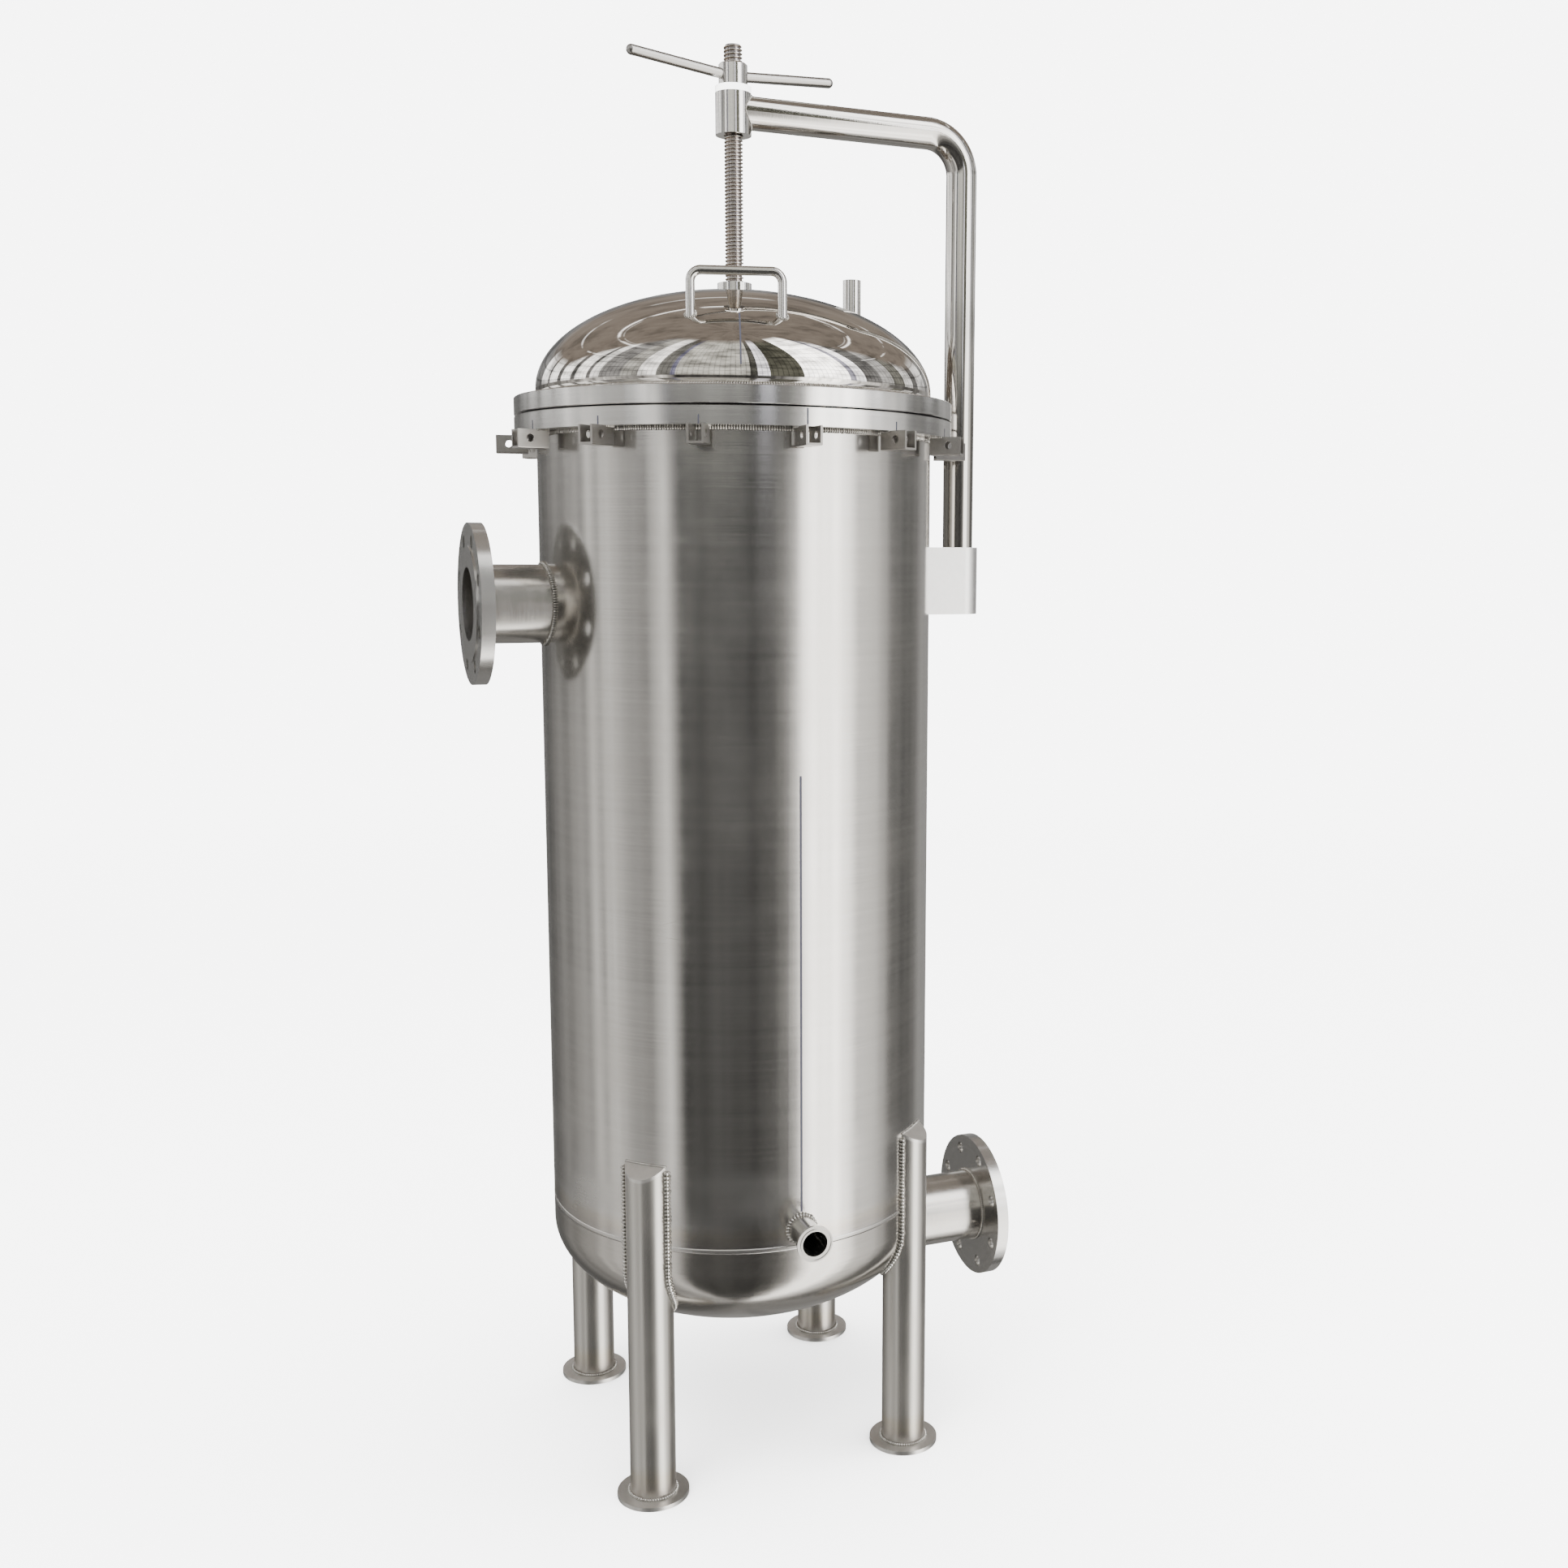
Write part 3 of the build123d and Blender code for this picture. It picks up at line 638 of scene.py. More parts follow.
@dataclass
class Vessel:
    """The shell, head, flange and legs, and the welds between them."""

    shell_r: float = 0.278
    flange_r: float = 0.308
    flange_z: float = 1.4675
    seam_z: float = 0.368
    seam_half: float = 0.0035
    seam_proud: float = 0.00012
    dish_z: float = 0.333
    dish_depth: float = 0.140
    leg_at: float = 0.2687
    leg_r: float = 0.03175
    leg_top: float = 0.484
    cap_half: float = 0.0305
    leg_angles: tuple[float, ...] = (45.0, 135.0, 225.0, 315.0)
    lug_count: int = 14
    lug_half: float = 0.0118
    mark_lift: float = 0.0002

    def dress(self, nodes: dict, bench: WeldBench) -> None:
        """Finishes the CAD nodes and lays the welds. Args: nodes: CAD nodes; bench: bead maker."""
        every_leg = range(1, len(self.leg_angles) + 1)
        dress(nodes, ["shell"], Steel("shell_satin_ground", roughness=0.14, spread=0.09, banding=0.08,
              line_scale=700.0, smudge=0.5, line_depth=0.18, tint_levels=(self.seam_z,), tint_reach=0.035,
              tint_strength=0.25, ground_band=(0.42, 0.13)))
        dress(nodes, ["bottom_head"], Steel("head_polished", tone=(0.50, 0.48, 0.45), roughness=0.16, spread=0.08,
              smudge=0.6, line_scale=500.0))
        dress(nodes, ["body_flange"], Steel("flange_turned", tone=RIM_TONE, roughness=0.14, spread=0.12,
              line_scale=1500.0, smudge=0.2))
        dress(nodes, ["bolt_lugs"], Steel("lug_plate", tone=(0.36, 0.345, 0.325), roughness=0.28, lay=Lay.CLOUDY,
              smudge=0.4, line_depth=0.015))
        dress(nodes, [f"leg_{i}" for i in every_leg], Steel("leg_brushed", tone=(0.50, 0.485, 0.455),
              roughness=0.28, spread=0.05, lay=Lay.ALONG, line_scale=500.0, line_depth=0.03, smudge=0.7,
              tint_levels=(0.006,), tint_reach=0.05, tint_strength=0.35))
        dress(nodes, [f"leg_cap_{i}" for i in every_leg], Steel("leg_cap_plate", tone=(0.60, 0.585, 0.56),
              roughness=0.34, lay=Lay.CLOUDY, smudge=0.5))
        dress(nodes, [f"foot_plate_{i}" for i in every_leg], Steel("foot_plate_turned", roughness=0.3,
              lay=Lay.FACE, smudge=0.6))
        dress(nodes, ["o_ring"], Soft("black_seal_rubber", (0.02, 0.02, 0.022), 0.5))
        self.welds(bench)
        self.seam_band()
        self.layout_marks()

    def welds(self, bench: WeldBench) -> None:
        """Lays the vessel's beads. Args: bench: bead maker."""
        under_flange = ring_path(self.shell_r + 0.0012, self.flange_z - 0.0022, 480)
        bench.lay("weld_flange_shell", "vessel", [under_flange], True, radius=0.0032)
        legs = [turn(self.leg_path(side), a) for a in self.leg_angles for side in (1, -1)]
        bench.lay("weld_legs", "vessel", legs, False, radius=0.0047, pitch=0.0052)
        caps = [turn(self.cap_path(), a) for a in self.leg_angles]
        bench.lay("weld_leg_caps", "vessel", caps, False, radius=0.0018, pitch=0.0026)
        foot = ring_path(self.leg_r + 0.0012, 0.0075, 72, (self.leg_at, 0.0))
        bench.lay("weld_feet", "vessel", [turn(foot, a) for a in self.leg_angles], True, radius=0.0028)
        fillet_z = self.flange_z - 0.0008
        lugs = [turn([(0.291, y, fillet_z), (0.306, y, fillet_z)], a) for a in self.lug_angles()
                for y in (self.lug_half, -self.lug_half)]
        bench.lay("weld_lugs", "vessel", lugs, False, radius=0.0016, pitch=0.0022)

    def lug_angles(self) -> list[float]:
        """Where the lugs stand. Returns: angles in degrees, the first at the drain's side."""
        return [270 + k * 360 / self.lug_count for k in range(self.lug_count)]

    def head_radius(self, z: float) -> float:
        """Outside radius of the vessel at a height. Args: z. Returns: the radius."""
        if z >= self.dish_z:
            return self.shell_r
        return self.shell_r * math.sqrt(max(0.0, 1 - ((self.dish_z - z) / self.dish_depth) ** 2))

    def leg_path(self, side: int) -> list[Point]:
        """Where one side of a leg on +X meets the vessel. Args: side: 1 or -1 along Y. Returns: the path."""
        lift, step = 0.0015, 0.003
        out = 1.0 + (0.0012 + lift * 0.35) / self.shell_r
        path = []
        z = self.leg_top - 0.007 - lift
        while z > self.dish_z - self.dish_depth:
            big = self.head_radius(z)
            x = (big ** 2 - self.leg_r ** 2 + self.leg_at ** 2) / (2 * self.leg_at)
            if big ** 2 - x ** 2 <= 0:
                break
            path.append((x * out, side * (math.sqrt(big ** 2 - x ** 2) + 0.0008 + lift), z))
            z -= step
        return path

    def cap_path(self) -> list[Point]:
        """The shell-side edge of a leg's sloping cap, on +X. Returns: the path."""
        r, z = 1.002 * self.shell_r, self.leg_top + 0.0004
        half = math.asin(self.cap_half / self.shell_r)
        return [(r * math.cos(a), r * math.sin(a), z) for a in (half * (k / 12 - 1) for k in range(25))]

    def seam_band(self) -> None:
        """Adds the head's seam, ground nearly flush, as a slightly raised band."""
        buried, top = self.shell_r - 0.0004, self.shell_r + self.seam_proud
        edge = self.shell_r + self.seam_proud * 0.2
        lower = [(buried, -1.0), (edge, -1.0), (top, -0.4)]
        outline = lower + [(r, -share) for r, share in reversed(lower)]
        profile = [(r, self.seam_z + share * self.seam_half) for r, share in outline]
        finish = Steel("seam_ground", tone=(0.54, 0.525, 0.50), roughness=0.24, spread=0.12, line_scale=260.0,
                       smudge=0.8)
        band = turned_solid("weld_head_seam", profile, (0, 0), finish.material(), 360)
        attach(band, "vessel")

    def layout_marks(self) -> None:
        """Adds the fitter's fine dark layout lines: down the shell to the drain and over each lug."""
        out = Vector((1.0, 0.0, 0.0))
        lines = Ribbons()

        def upright(r: float, low: float, high: float) -> list[tuple[Vector, Vector]]:
            """A plumb stroke. Args: r: radius; low, high: its ends. Returns: its path."""
            return [(Vector((r + self.mark_lift, 0.0, z)), out) for z in (low, high)]

        lines.add(upright(self.shell_r, 0.4175, 1.018), 270, 0.0030)
        for k, angle in enumerate(self.lug_angles()):
            tall = 0.012 if k else 0.0225
            lines.add(upright(self.flange_r, self.flange_z + 0.0005, self.flange_z + tall), angle, 0.0019)
        lines.finish("layout_lines", "vessel")


@dataclass
class Nozzles:
    """The flanged inlet and outlet and the clamp drain."""

    neck_r: float = 0.054
    inlet_z: float = 1.236
    outlet_z: float = 0.265
    inlet_face: float = 0.381
    outlet_face: float = 0.403
    outlet_root: float = 0.235
    flange_back: float = 0.020
    drain_z: float = 0.393
    drain_r: float = 0.019
    drain_seam: float = 0.3197

    def dress(self, nodes: dict, bench: WeldBench, vessel: Vessel) -> None:
        """Finishes the nozzles and lays their welds. Args: nodes; bench: bead maker; vessel: their seat."""
        self.nozzle("inlet", -1, self.inlet_z, self.inlet_face, vessel.shell_r, 0.8, nodes, bench, vessel)
        self.nozzle("outlet", 1, self.outlet_z, self.outlet_face, self.outlet_root, 0.35, nodes, bench, vessel)
        dress(nodes, ["drain_tube", "drain_ferrule"], Steel("drain_turned", tone=(0.50, 0.485, 0.46), roughness=0.2,
              axis=Axis.Y, centre=(0, 0, self.drain_z), line_scale=1200.0, tint_levels=(vessel.shell_r,),
              tint_reach=0.02, tint_strength=0.5))
        foot = [(x, -math.sqrt(vessel.shell_r ** 2 - x ** 2) - 0.0008, self.drain_z + h)
                for x, h in circle(self.drain_r + 0.001, 90)]
        seam = [(x, -self.drain_seam, self.drain_z + h) for x, h in circle(self.drain_r + 0.0002, 60)]
        bench.lay("weld_drain", "vessel", [foot], True, radius=0.0036, pitch=0.0042)
        bench.lay("weld_drain_ferrule", "vessel", [seam], True, radius=0.0008, pitch=0.0016)

    def nozzle(self, name: str, side: int, z: float, face: float, root: float, tint: float, nodes: dict,
               bench: WeldBench, vessel: Vessel) -> None:
        """Finishes one flanged nozzle and lays its two welds.

        Args:
            name: inlet or outlet.
            side: -1 or 1 along X.
            z: its axis.
            face: how far its face stands out.
            root: how far out its neck's weld lies.
            tint: strength of the neck's heat tint.
            nodes: CAD nodes.
            bench: bead maker.
            vessel: what it is welded to.
        """
        at, back = (0.0, 0.0, z), face - self.flange_back
        dress(nodes, [name + "_neck"], Steel(name + "_neck_brushed", tone=(0.48, 0.46, 0.43), roughness=0.2,
              spread=0.12, axis=Axis.X, centre=at, tint_levels=(side * root, side * back), tint_reach=0.035,
              tint_strength=tint, line_scale=600.0))
        dress(nodes, [name + "_flange"], Steel(name + "_flange_turned", tone=(0.56, 0.55, 0.53), roughness=0.2,
              spread=0.14, lay=Lay.FACE, axis=Axis.X, centre=at, line_scale=1400.0, line_depth=0.5, smudge=0.3))
        saddle = [(side * (math.sqrt(vessel.head_radius(z + h) ** 2 - y ** 2) + 0.001), y, z + h)
                  for y, h in circle(self.neck_r + 0.0012, 160)]
        bench.lay(f"weld_{name}_shell", "vessel", [saddle], True, radius=0.0034)
        hub = [(side * (back - 0.0008), y, z + h) for y, h in circle(self.neck_r + 0.001, 120)]
        bench.lay(f"weld_{name}_flange", "vessel", [hub], True, radius=0.0024, pitch=0.003)


@dataclass
class Lid:
    """The domed lid, its furniture and the lifting screw."""

    flange_top: float = 1.5175
    dome_r: float = 0.278
    dish_z: float = 1.5305
    depth: float = 0.140
    wall: float = 0.003
    screw_r: float = 0.013
    screw_core: float = 0.0107
    screw_top: float = 2.0025
    screw_foot: float = 1.676
    lead: float = 0.005
    rows_per_turn: int = 16
    flank: float = 0.13
    crest: float = 0.24
    handle_at: float = 0.219
    handle_half: float = 0.059
    handle_angles: tuple[float, ...] = (253.5, 73.5)
    vent_at: float = 0.177
    mark_angle: float = 254.4
    mark_inner: float = 0.224
    mark_outer: float = 0.2767

    def dress(self, nodes: dict, bench: WeldBench) -> None:
        """Finishes the lid. Args: nodes: CAD nodes; bench: bead maker."""
        mirror = Steel("dome_mirror", tone=(0.64, 0.61, 0.57), roughness=0.015, spread=0.02, line_scale=300.0,
                       line_depth=0.012, smudge=0.3)
        dome = self.dome(mirror.material())
        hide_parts("lid_dome")
        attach(dome, "lid")
        dress(nodes, ["lid_flange"], Steel("lid_flange_turned", tone=RIM_TONE, roughness=0.12, spread=0.12,
              line_scale=1500.0, smudge=0.2))
        dress(nodes, ["lid_handle_front", "lid_handle_back", "lid_boss", "lid_vent"], Steel("bar_polished",
              tone=(0.66, 0.64, 0.61), roughness=0.09, spread=0.06, smudge=0.2))
        rim = ring_path(self.dome_r + 0.001, self.flange_top + 0.0016, 480)
        bench.lay("weld_dome_rim", "lid", [rim], True, radius=0.0030)
        feet = [self.on_dome(turn(ring_path(0.0068, 0.0, 40, (self.handle_at, side * self.handle_half)), angle))
                for angle in self.handle_angles for side in (1, -1)]
        bench.lay("weld_handles", "lid", feet, True, radius=0.0020, pitch=0.0024)
        for name, path in (("weld_boss", ring_path(0.0248, 0, 90)),
                           ("weld_vent", ring_path(0.0138, 0, 60, (self.vent_at, 0.0)))):
            bench.lay(name, "lid", [self.on_dome(path)], True, radius=0.0022, pitch=0.0026)
        self.layout_line()
        # The radial tint at the core radius is painted shade: it darkens the thread roots grey-blue, not a heat
        # tint.
        rolled = Steel("screw_rolled", tone=(0.60, 0.58, 0.55), roughness=0.2, spread=0.1, line_scale=1200.0,
                       tint_levels=(self.screw_core,), tint_reach=0.0022, tint_strength=1.0, tint_radial=True)
        thread = self.thread(rolled.material())
        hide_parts("lift_screw")
        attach(thread, "lid")

    def dome_z(self, r: float) -> float:
        """Outside height of the dome at a radius. Args: r. Returns: the height."""
        return self.dish_z + self.depth * math.sqrt(max(0.0, 1 - (r / self.dome_r) ** 2))

    def on_dome(self, path: Iterable[Point]) -> list[Point]:
        """Drops a plan path onto the dome. Args: path. Returns: the points."""
        return [(x, y, self.dome_z(math.hypot(x, y)) + 0.0004) for x, y, _ in path]

    def dome(self, material: bpy.types.Material) -> bpy.types.Object:
        """Builds the dome as one smooth turned shell. Args: material. Returns: the object."""
        def dish(inset: float, share: float) -> tuple[float, float]:
            """A point of the dish. Args: inset: from the outside; share: 0 at the top, 1 at the rim. Returns: it."""
            t = math.pi / 2 * share
            return (self.dome_r - inset) * math.sin(t), self.dish_z + (self.depth - inset) * math.cos(t)

        outer = [dish(0.0, 1 - k / 64) for k in range(65)]
        inner = [dish(self.wall, k / 40) for k in range(41)]
        skirt = [(self.dome_r - self.wall, self.flange_top), (self.dome_r, self.flange_top)]
        profile = [*skirt, *outer[:-1], (0.0, outer[-1][1]), (0.0, inner[0][1]), *inner[1:]]
        return turned_solid("lid_dome_shell", profile, (0, 0), material, 256)

    def thread(self, material: bpy.types.Material) -> bpy.types.Object:
        """Builds the trapezoidal lifting thread as one closed skin. Args: material. Returns: the object."""
        rise = self.screw_top - self.screw_foot
        rows = round(rise / self.lead * self.rows_per_turn)

        def rise_and_fall(radius: float, z: float, angle: float) -> float:
            """Depth of the helical groove. Args: radius: of the crest; z; angle. Returns: the radius there."""
            phase = (z / self.lead - angle / TURN) % 1.0
            height = min(phase / self.flank, (2 * self.flank + self.crest - phase) / self.flank)
            thread_r = self.screw_core + (radius - self.screw_core) * min(1.0, max(0.0, height))
            return min(thread_r, self.screw_core - 0.0002 + (self.screw_top - z))

        skin = [(self.screw_r, self.screw_foot + rise * k / rows) for k in range(rows + 1)]
        outline = [(0.0, self.screw_foot), *skin, (0.0, self.screw_top)]
        return turned_solid("lift_screw_thread", outline, (0, 0), material, 36, rise_and_fall)

    def layout_line(self) -> None:
        """Adds the fitter's fine dark line down the front of the dome."""
        path = []
        for k in range(25):
            r = self.mark_outer + (self.mark_inner - self.mark_outer) * k / 24
            slope = self.depth * r / (self.dome_r ** 2 * math.sqrt(1 - (r / self.dome_r) ** 2))
            out = Vector((slope, 0.0, 1.0)).normalized()
            path.append((Vector((r, 0.0, self.dome_z(r))) + out * 0.0002, out))
        line = Ribbons()
        line.add(path, self.mark_angle, 0.0022)
        line.finish("layout_line_dome", "lid")


@dataclass
class Davit:
    """The swinging davit, its bracket, sleeve, washer and tee nut."""

    mast_x: float = 0.350
    arm_z: float = 1.915
    arm_weld_r: float = 0.0229
    sleeve_weld_r: float = 0.0253
    bracket_half: float = 0.0305
    bracket_low: float = 1.219
    bracket_weld_r: float = 0.2788

    def dress(self, nodes: dict, bench: WeldBench) -> None:
        """Finishes the davit. Args: nodes: CAD nodes; bench: bead maker."""
        dress(nodes, ["davit_mast"], Steel("mast_polished", tone=(0.54, 0.52, 0.49), roughness=0.07, spread=0.07,
              lay=Lay.ALONG, centre=(self.mast_x, 0, 0), line_scale=420.0))
        dress(nodes, ["lift_sleeve", "tee_nut"], Steel("tee_polished", tone=(0.66, 0.64, 0.61), roughness=0.1,
              spread=0.06, smudge=0.2))
        dress(nodes, ["tee_bar_mast_side", "tee_bar_inlet_side"], Steel("tee_bar_drawn", tone=(0.33, 0.32, 0.305),
              roughness=0.2, spread=0.08, smudge=0.2))
        dress(nodes, ["davit_bracket", "davit_socket", "davit_socket_base"], Steel("bracket_satin",
              tone=(0.74, 0.735, 0.72), roughness=0.34, lay=Lay.CLOUDY, smudge=0.2))
        dress(nodes, ["thrust_washer"], Soft("white_bearing_plastic", (0.80, 0.80, 0.78), 0.4, 0.05))
        sleeve = [(math.sqrt(self.sleeve_weld_r ** 2 - y ** 2), y, self.arm_z + h)
                  for y, h in circle(self.arm_weld_r, 72)]
        bench.lay("weld_arm_sleeve", "davit", [sleeve], True, radius=0.0014, pitch=0.002)
        x = math.sqrt(self.bracket_weld_r ** 2 - self.bracket_half ** 2)
        sides = [[(x, y, self.bracket_low + 0.003 * k) for k in range(33)]
                 for y in (self.bracket_half, -self.bracket_half)]
        bench.lay("weld_bracket", "vessel", sides, False, radius=0.0022, pitch=0.003)


@dataclass
class BagPack:
    """Bag plate, baskets, hold-down and the felt bags."""

    circle_r: float = 0.142
    bag_r: float = 0.0840
    bag_wall: float = 0.0016
    ring_r: float = 0.0915
    top: float = 1.159
    floor: float = 0.3985
    rim_z: float = 1.1532
    free_top: float = 1.1332
    fold_depth: float = 0.0022

    def dress(self, nodes: dict, bench: WeldBench) -> None:
        """Finishes the pack and sews the bags. Args: nodes: CAD nodes; bench: bead maker."""
        dress(nodes, ["bag_plate"], Steel("bag_plate_milled", tone=(0.58, 0.57, 0.55), roughness=0.3, lay=Lay.FACE,
              line_scale=600.0))
        dress(nodes, ["hold_down_spider", "hold_down_stud", "hold_down_nut"], Steel("hold_down_brushed",
              tone=(0.60, 0.59, 0.57), lay=Lay.CLOUDY))
        bench.lay("weld_bag_plate", "vessel", [ring_path(0.2738, 1.1512, 360)], True, radius=0.0026, pitch=0.0036)
        felt = Felt().material()
        for i in range(1, 5):
            a = math.radians(45 + 90 * (i - 1))
            x, y = self.circle_r * math.cos(a), self.circle_r * math.sin(a)
            dress(nodes, [f"basket_{i}"], Perforated(f"basket_{i}_perforated", (x, y, 0.0)))
            bag = self.bag(i, x, y, felt)
            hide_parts(f"filter_bag_{i}")
            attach(bag, "vessel")
            LOG.info("bag %d hung", i)

    def bag(self, index: int, x: float, y: float, felt: bpy.types.Material) -> bpy.types.Object:
        """Builds a bag with soft folds between its ring and its rounded toe.

        Args:
            index: its number, which sets its folds.
            x: its axis.
            y: its axis.
            felt: the cloth.

        Returns:
            The bag.
        """
        r, w, top, low = self.bag_r, self.bag_wall, self.top, self.floor
        first = low + 0.03
        levels = [first + (self.free_top - first) * k / 26 for k in range(27)]
        toe = [(r * 0.5, low), (r * 0.86, low + 0.004), (r * 0.97, low + 0.014)]
        ring = [(self.ring_r - 0.0008, self.rim_z), (self.ring_r, self.rim_z + 0.002), (self.ring_r, top - 0.002),
                (self.ring_r - 0.0015, top)]
        outer = [(0.0, low), *toe, *[(r, z) for z in levels], (r, self.rim_z), *ring]
        toe_inside = [(toe[2][0] - w, toe[2][1] + w), (toe[1][0] - w, toe[1][1] + w), (toe[0][0], low + w)]
        inner = [(r - w + 0.0008, top), (r - w, self.rim_z), *[(r - w, z) for z in reversed(levels)], *toe_inside,
                 (0.0, low + w)]

        def fold(radius: float, z: float, angle: float) -> float:
            """Draws the cloth inward in uneven pleats. Args: radius, z, angle. Returns: the new radius."""
            if radius < r * 0.8 or z > self.free_top or radius > r + 1e-6:
                return radius
            free = math.sin(math.pi * min(1.0, max(0.0, (z - low) / (self.free_top - low)))) ** 0.5
            wave = math.sin(5 * angle + 1.3 * index + 4 * z) + 0.6 * math.sin(8 * angle - 9 * z + index)
            return radius - self.fold_depth * free * (1.0 + wave / 1.6)

        return turned_solid(f"felt_bag_{index}", outer + inner, (x, y), felt, 72, fold)


# ------------------------------------------------------------------ studio
@dataclass(frozen=True)
class Studio:
    """Pale floor, banded soft surround and the camera."""

    eye: Point = (-0.7164, -2.3294, 1.3193)
    heading: tuple[float, float] = (0.39234, 0.91982)
    tilt: float = 8.15
    roll: float = 0.43
    lens: float = 2050.82 * 36 / 1932
    shift: float = (966 - 1123.2) / 1932
    wash: float = 7.0
    glow_strength: float = 10.0
    floor_half: float = 40.0
    bands: tuple[tuple[float, float], ...] = (
        (-180, 0.5), (-158, 0.2), (-140, 0.22), (-128, 0.55), (-119, 0.35), (-108, 0.9), (-101, 0.55), (-92, 1.5),
        (-86, 1.0), (-80, 1.9), (-72, 1.1), (-62, 0.7), (-52, 0.62), (-46, 1.5), (-40, 2.1), (-36, 0.5),
        (-33, 0.10), (-22, 0.13), (-12, 0.17), (-3, 0.13), (8, 0.11), (16, 0.15), (25, 0.32), (35, 1.1), (41, 8.5),
        (66, 6.5), (72, 2.2), (92, 1.7), (101, 0.32), (124, 0.2), (140, 0.6), (160, 0.5))
    panes: tuple[tuple[float, float, float], ...] = (
        (-180, 0.5, 1.0), (-146, 3.6, 1.0), (-134, 0.5, 1.0), (-131, 4.2, 1.0), (-121, 0.4, 1.0), (-118, 4.6, 1.0),
        (-107, 0.4, 1.0), (-104, 4.4, 1.0), (-94, 0.4, 1.0), (-91, 3.2, 1.0), (-83, 0.7, 1.0), (-68, 1.2, 0.95),
        (-57, 4.2, 1.0), (-46, 0.42, 0.95), (-37, 0.5, 1.5), (-34, 1.55, 0.93), (8, 0.22, 0.9), (12, 3.2, 1.1),
        (19, 0.26, 0.8), (38, 9.0, 1.0), (68, 1.4, 1.25), (72, 5.5, 1.05), (80, 0.45, 1.0), (92, 1.3, 1.0),
        (103, 0.4, 0.9), (114, 2.6, 1.0), (124, 0.35, 1.0), (132, 2.2, 1.0), (146, 0.5, 1.0))

    def surround(self) -> bpy.types.NodeTree:
        """Group: the bands, windows, roof and skylights of a workshop, by direction. Returns: the group."""
        ahead = math.atan2(self.eye[1], self.eye[0])

        def place(angle: float) -> float:
            """Where an azimuth lies round the ramp. Args: angle in degrees. Returns: 0 to 1."""
            return (angle + 180) / 360

        def walls(s: Sketch, share: object) -> bpy.types.NodeSocket:
            """Soft upright bands with streaks, for the lower walls. Args: s; share. Returns: the colour."""
            bands = [(place(a), (v * 0.1, v * 0.098, v * 0.0945)) for a, v in self.bands]
            streaks = s.put("ShaderNodeTexNoise", noise_dimensions="1D", named={
                "W": s.scaled(share, 64.0), "Scale": 1.0, "Detail": 3.0, "Roughness": 0.7}).outputs[0]
            return s.times(s.ramp(share, bands), s.ramp(streaks, [(0.3, 0.42), (0.5, 0.72), (0.7, 1)]))

        def windows(s: Sketch, share: object, rise: object, glare: object) -> bpy.types.NodeSocket:
            """Sharp panes with ribs and rails. Args: s; share; rise; glare: a cloud. Returns: the colour."""
            panes = [(place(a), (v * 0.1, v * 0.1, v * w * 0.1)) for a, v, w in self.panes]
            ribs = s.math("GREATER_THAN", s.math("FRACT", s.scaled(share, 120.0)), 0.16)
            rails = s.math("GREATER_THAN", s.math("FRACT", s.scaled(rise, 13.0)), 0.12)
            edges = s.ramp(s.math("MULTIPLY", ribs, rails), [(0.0, 0.5), (1.0, 1)])
            pane = s.times(s.ramp(share, panes, "CONSTANT"), edges)
            return s.times(pane, s.ramp(glare, [(0.35, 0.35), (0.6, 1)]))

        def skylights(s: Sketch, share: object, rise: object) -> bpy.types.NodeSocket:
            """Thin broken strips in the far roof. Args: s; share; rise. Returns: the colour."""
            strips = s.ramp(rise, [(0.392, 0), (0.396, 0.16), (0.401, 0.16), (0.405, 0), (0.562, 0), (0.566, 0.3),
                                   (0.573, 0.3), (0.577, 0), (0.588, 0), (0.590, 0.1), (0.593, 0)])
            sheets = s.noise(s.joined(s.scaled(share, 26.0), s.scaled(rise, 16.0)), 1.0, 2.0)
            broken = s.times(strips, s.ramp(sheets, [(0.44, 0), (0.52, 1)]))
            return s.times(broken, s.ramp(share, [(0.22, 1), (0.32, 0), (0.68, 0), (0.78, 1)]))

        def build(s: Sketch, i: dict) -> dict:
            """Wires the group. Args: s: sketch; i: inputs. Returns: outputs."""
            angle, radius, height = s.use(unrolled(), Vector=i["Vector"]).outputs
            away = s.math("DIVIDE", s.math("SUBTRACT", angle, ahead), TURN)
            share = s.math("FRACT", s.math("ADD", away, 1.5))
            rise = s.math("DIVIDE", s.math("ARCTAN2", height, radius), math.pi / 2)
            glare = s.noise(s.joined(s.scaled(share, 22.0), s.scaled(rise, 9.0)), 1.0, 3.0, 0.6)
            glow = s.blend(s.ramp(rise, [(0.05, 0), (0.085, 1)]), walls(s, share), windows(s, share, rise, glare))
            eaves = s.ramp(share, [(0.0, 0.2), (0.18, 0.2), (0.30, 0.70), (0.68, 0.76), (0.84, 0.2)])
            roof = s.put("ShaderNodeClamp", s.scaled(s.math("SUBTRACT", rise, eaves), 12.0)).outputs[0]
            truss = s.ramp(glare, [(0.3, (0.020, 0.0175, 0.015)), (0.5, (0.036, 0.031, 0.0265)),
                                   (0.75, (0.044, 0.0385, 0.033))])
            return {"Glow": s.blend(1.0, s.blend(roof, glow, truss), skylights(s, share, rise), "ADD")}
        return group("workshop_surround", [("Vector", VECTOR, None)], [("Glow", COLOUR)], build)

    def build(self) -> None:
        """Makes the floor, light and camera."""
        self.floor()
        self.light()
        self.camera()

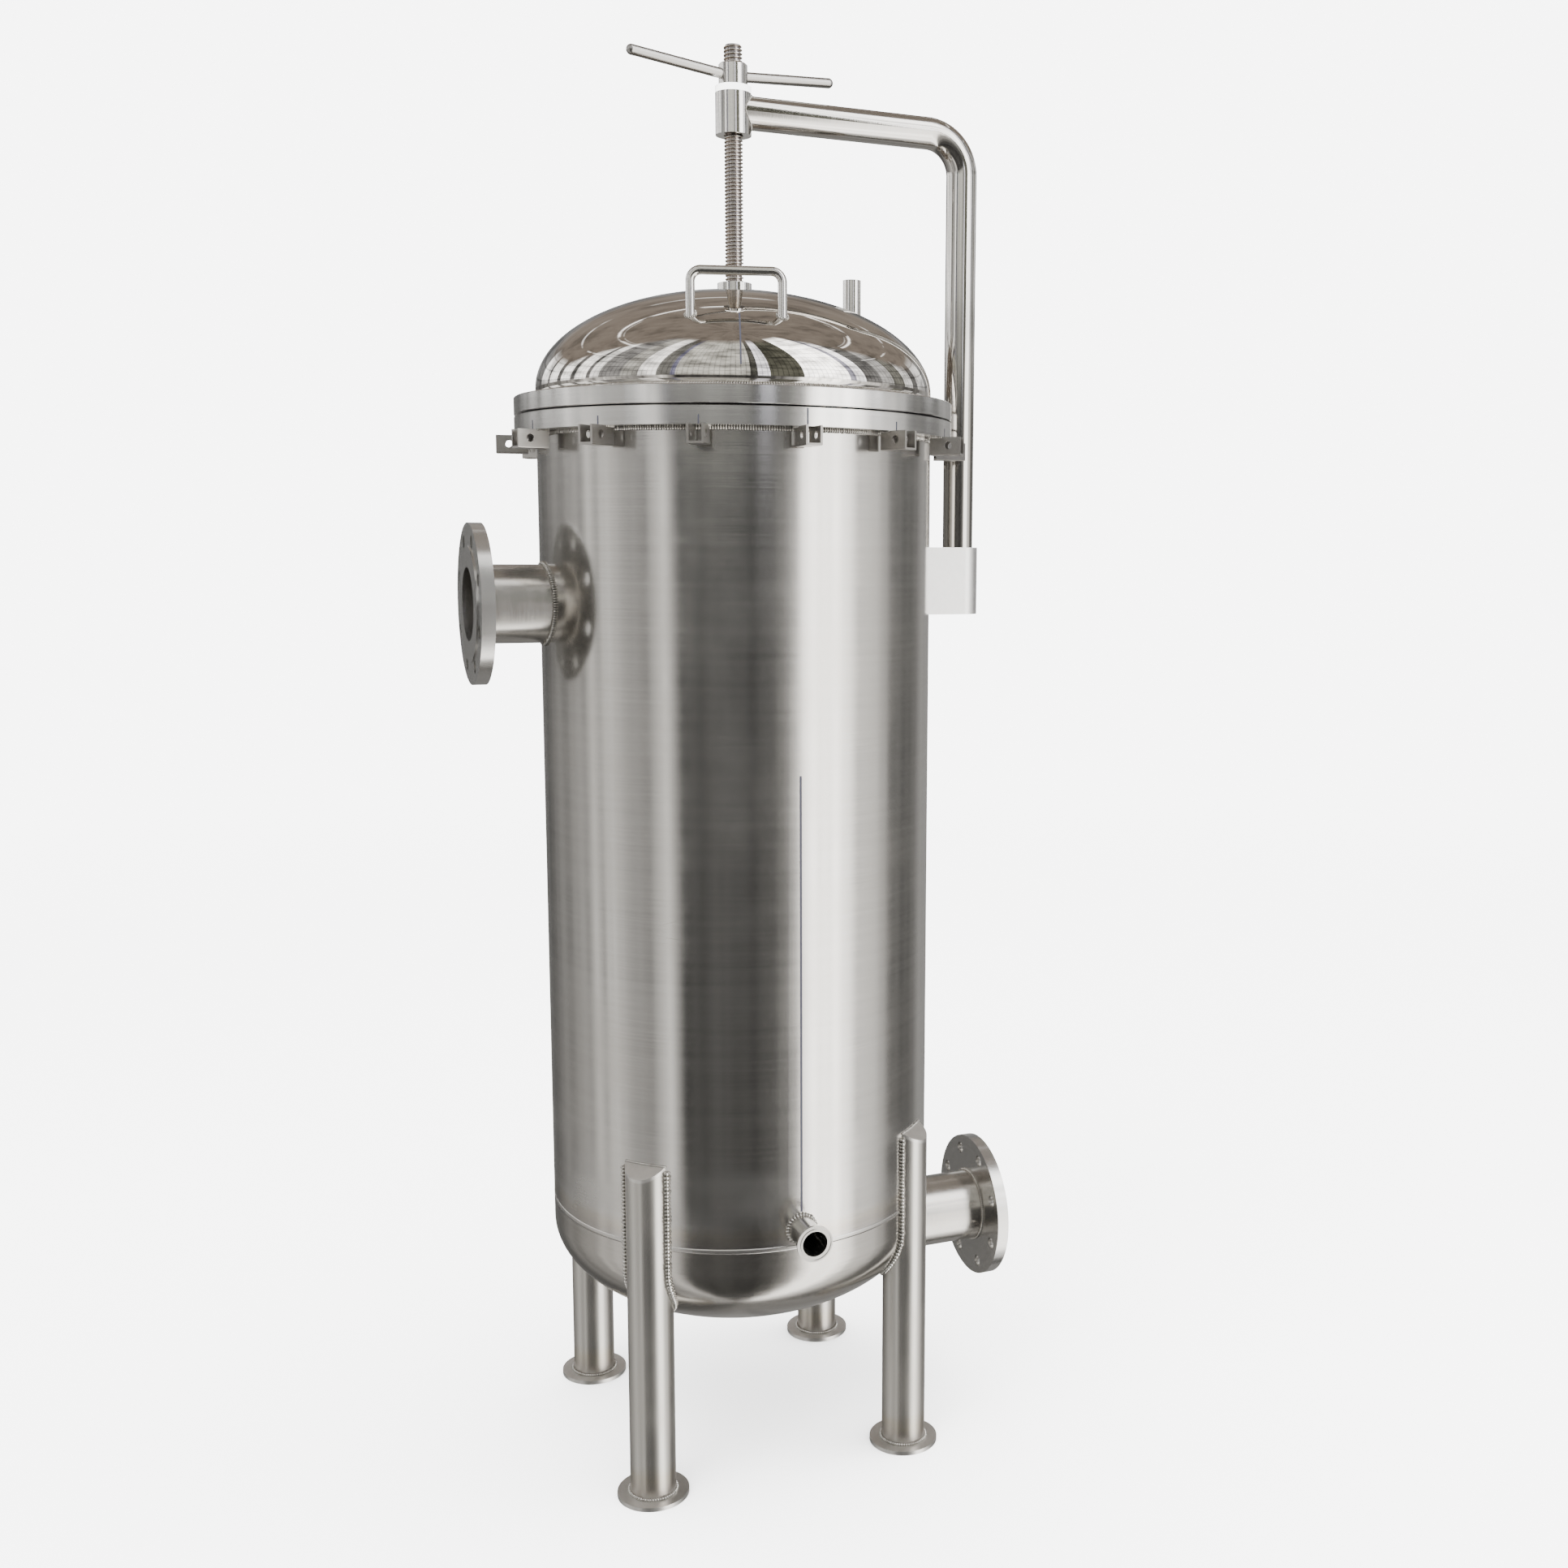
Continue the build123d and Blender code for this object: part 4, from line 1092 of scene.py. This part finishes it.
    def floor(self) -> None:
        """Lays the pale floor; its mirror image in the steel is the surround's, and it fades out far away."""
        material, s, shader = blank_material("pale_floor")
        s.fill(shader, {"Base Color": (0.9, 0.9, 0.9, 1), "Roughness": 0.9})
        geometry = s.put("ShaderNodeNewGeometry").outputs
        ray = s.put("ShaderNodeVectorMath", geometry["Incoming"], (-1.0,) * 3, operation="MULTIPLY").outputs[0]
        around = s.use(self.surround(), Vector=ray).outputs[0]
        glow = s.put("ShaderNodeEmission", around, self.glow_strength).outputs[0]
        away = s.put("ShaderNodeVectorMath", geometry["Position"], operation="LENGTH").outputs["Value"]
        fade = s.put("ShaderNodeMapRange", away, 2.5, 7.0, 0.0, 1.0, interpolation_type="SMOOTHSTEP").outputs[0]
        white = s.put("ShaderNodeEmission", (1.0,) * 4, self.wash).outputs[0]
        ground = s.put("ShaderNodeMixShader", fade, shader.outputs[0], white).outputs[0]
        mirrored = s.put("ShaderNodeLightPath").outputs["Is Glossy Ray"]
        mix = s.put("ShaderNodeMixShader", mirrored, ground, glow)
        s.fill(s.tree.nodes["Material Output"], {0: mix.outputs[0]})
        half = self.floor_half
        corners = [(-half, -half, 0), (half, -half, 0), (half, half, 0), (-half, half, 0)]
        floor = piece("studio_floor", corners, [(0, 1, 2, 3)], material, smooth=False)

    def light(self) -> None:
        """Sets the surround and the soft boxes."""
        world = bpy.data.worlds.new("studio")
        bpy.context.scene.world = world
        world.use_nodes = True
        s = Sketch(world.node_tree)
        ground = world.node_tree.nodes["Background"]
        around = s.use(self.surround(), Vector=s.put("ShaderNodeTexCoord").outputs["Generated"])
        s.fill(ground, {0: around.outputs[0], 1: self.glow_strength})
        white = s.put("ShaderNodeBackground", (1.0,) * 4, self.wash).outputs[0]
        mirrored = s.put("ShaderNodeLightPath").outputs["Is Glossy Ray"]
        mix = s.put("ShaderNodeMixShader", mirrored, white, ground.outputs[0])
        s.fill(world.node_tree.nodes["World Output"], {0: mix.outputs[0]})
        middle = Vector((0, 0, 0.9))
        for name, at, size, power in (("key_left", (-2.4, -1.6, 4.2), 2.4, 260.0),
                                      ("fill_right", (2.6, -0.6, 4.0), 2.6, 160.0)):
            lamp = bpy.data.lights.new(name, "AREA")
            lamp.shape, lamp.size, lamp.energy = "DISK", size, power
            holder = bpy.data.objects.new(name, lamp)
            holder.location = at
            holder.rotation_euler = (middle - Vector(at)).to_track_quat("-Z", "Y").to_euler()
            holder.visible_glossy = False
            bpy.context.scene.collection.objects.link(holder)

    def camera(self) -> None:
        """Places the camera."""
        data = bpy.data.cameras.new("camera")
        data.sensor_width, data.lens, data.shift_x = 36.0, self.lens, self.shift
        data.clip_end = 200.0
        holder = bpy.data.objects.new("camera", data)
        tilt = math.radians(self.tilt)
        look = Vector((self.heading[0] * math.cos(tilt), self.heading[1] * math.cos(tilt), -math.sin(tilt)))
        rolled = Quaternion((0, 0, 1), math.radians(self.roll))
        holder.rotation_mode = "QUATERNION"
        holder.rotation_quaternion = look.to_track_quat("-Z", "Y") @ rolled
        holder.location = self.eye
        bpy.context.scene.collection.objects.link(holder)
        bpy.context.scene.camera = holder


def main() -> None:
    """Builds the whole dressed housing and the studio around it."""
    logging.basicConfig(level=logging.INFO, format="%(name)s: %(message)s")
    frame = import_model()
    Studio().build()
    nodes = frame["nodes"]
    bead = Steel("weld_bead", tone=(0.70, 0.68, 0.64), roughness=0.13, spread=0.12, lay=Lay.CLOUDY,
                 line_scale=2600.0, contrast=0.7, smudge=0.6)
    bench = WeldBench(bead.material())
    vessel = Vessel()
    vessel.dress(nodes, bench)
    Nozzles().dress(nodes, bench, vessel)
    Lid().dress(nodes, bench)
    Davit().dress(nodes, bench)
    BagPack().dress(nodes, bench)


if __name__ == "__main__":
    main()
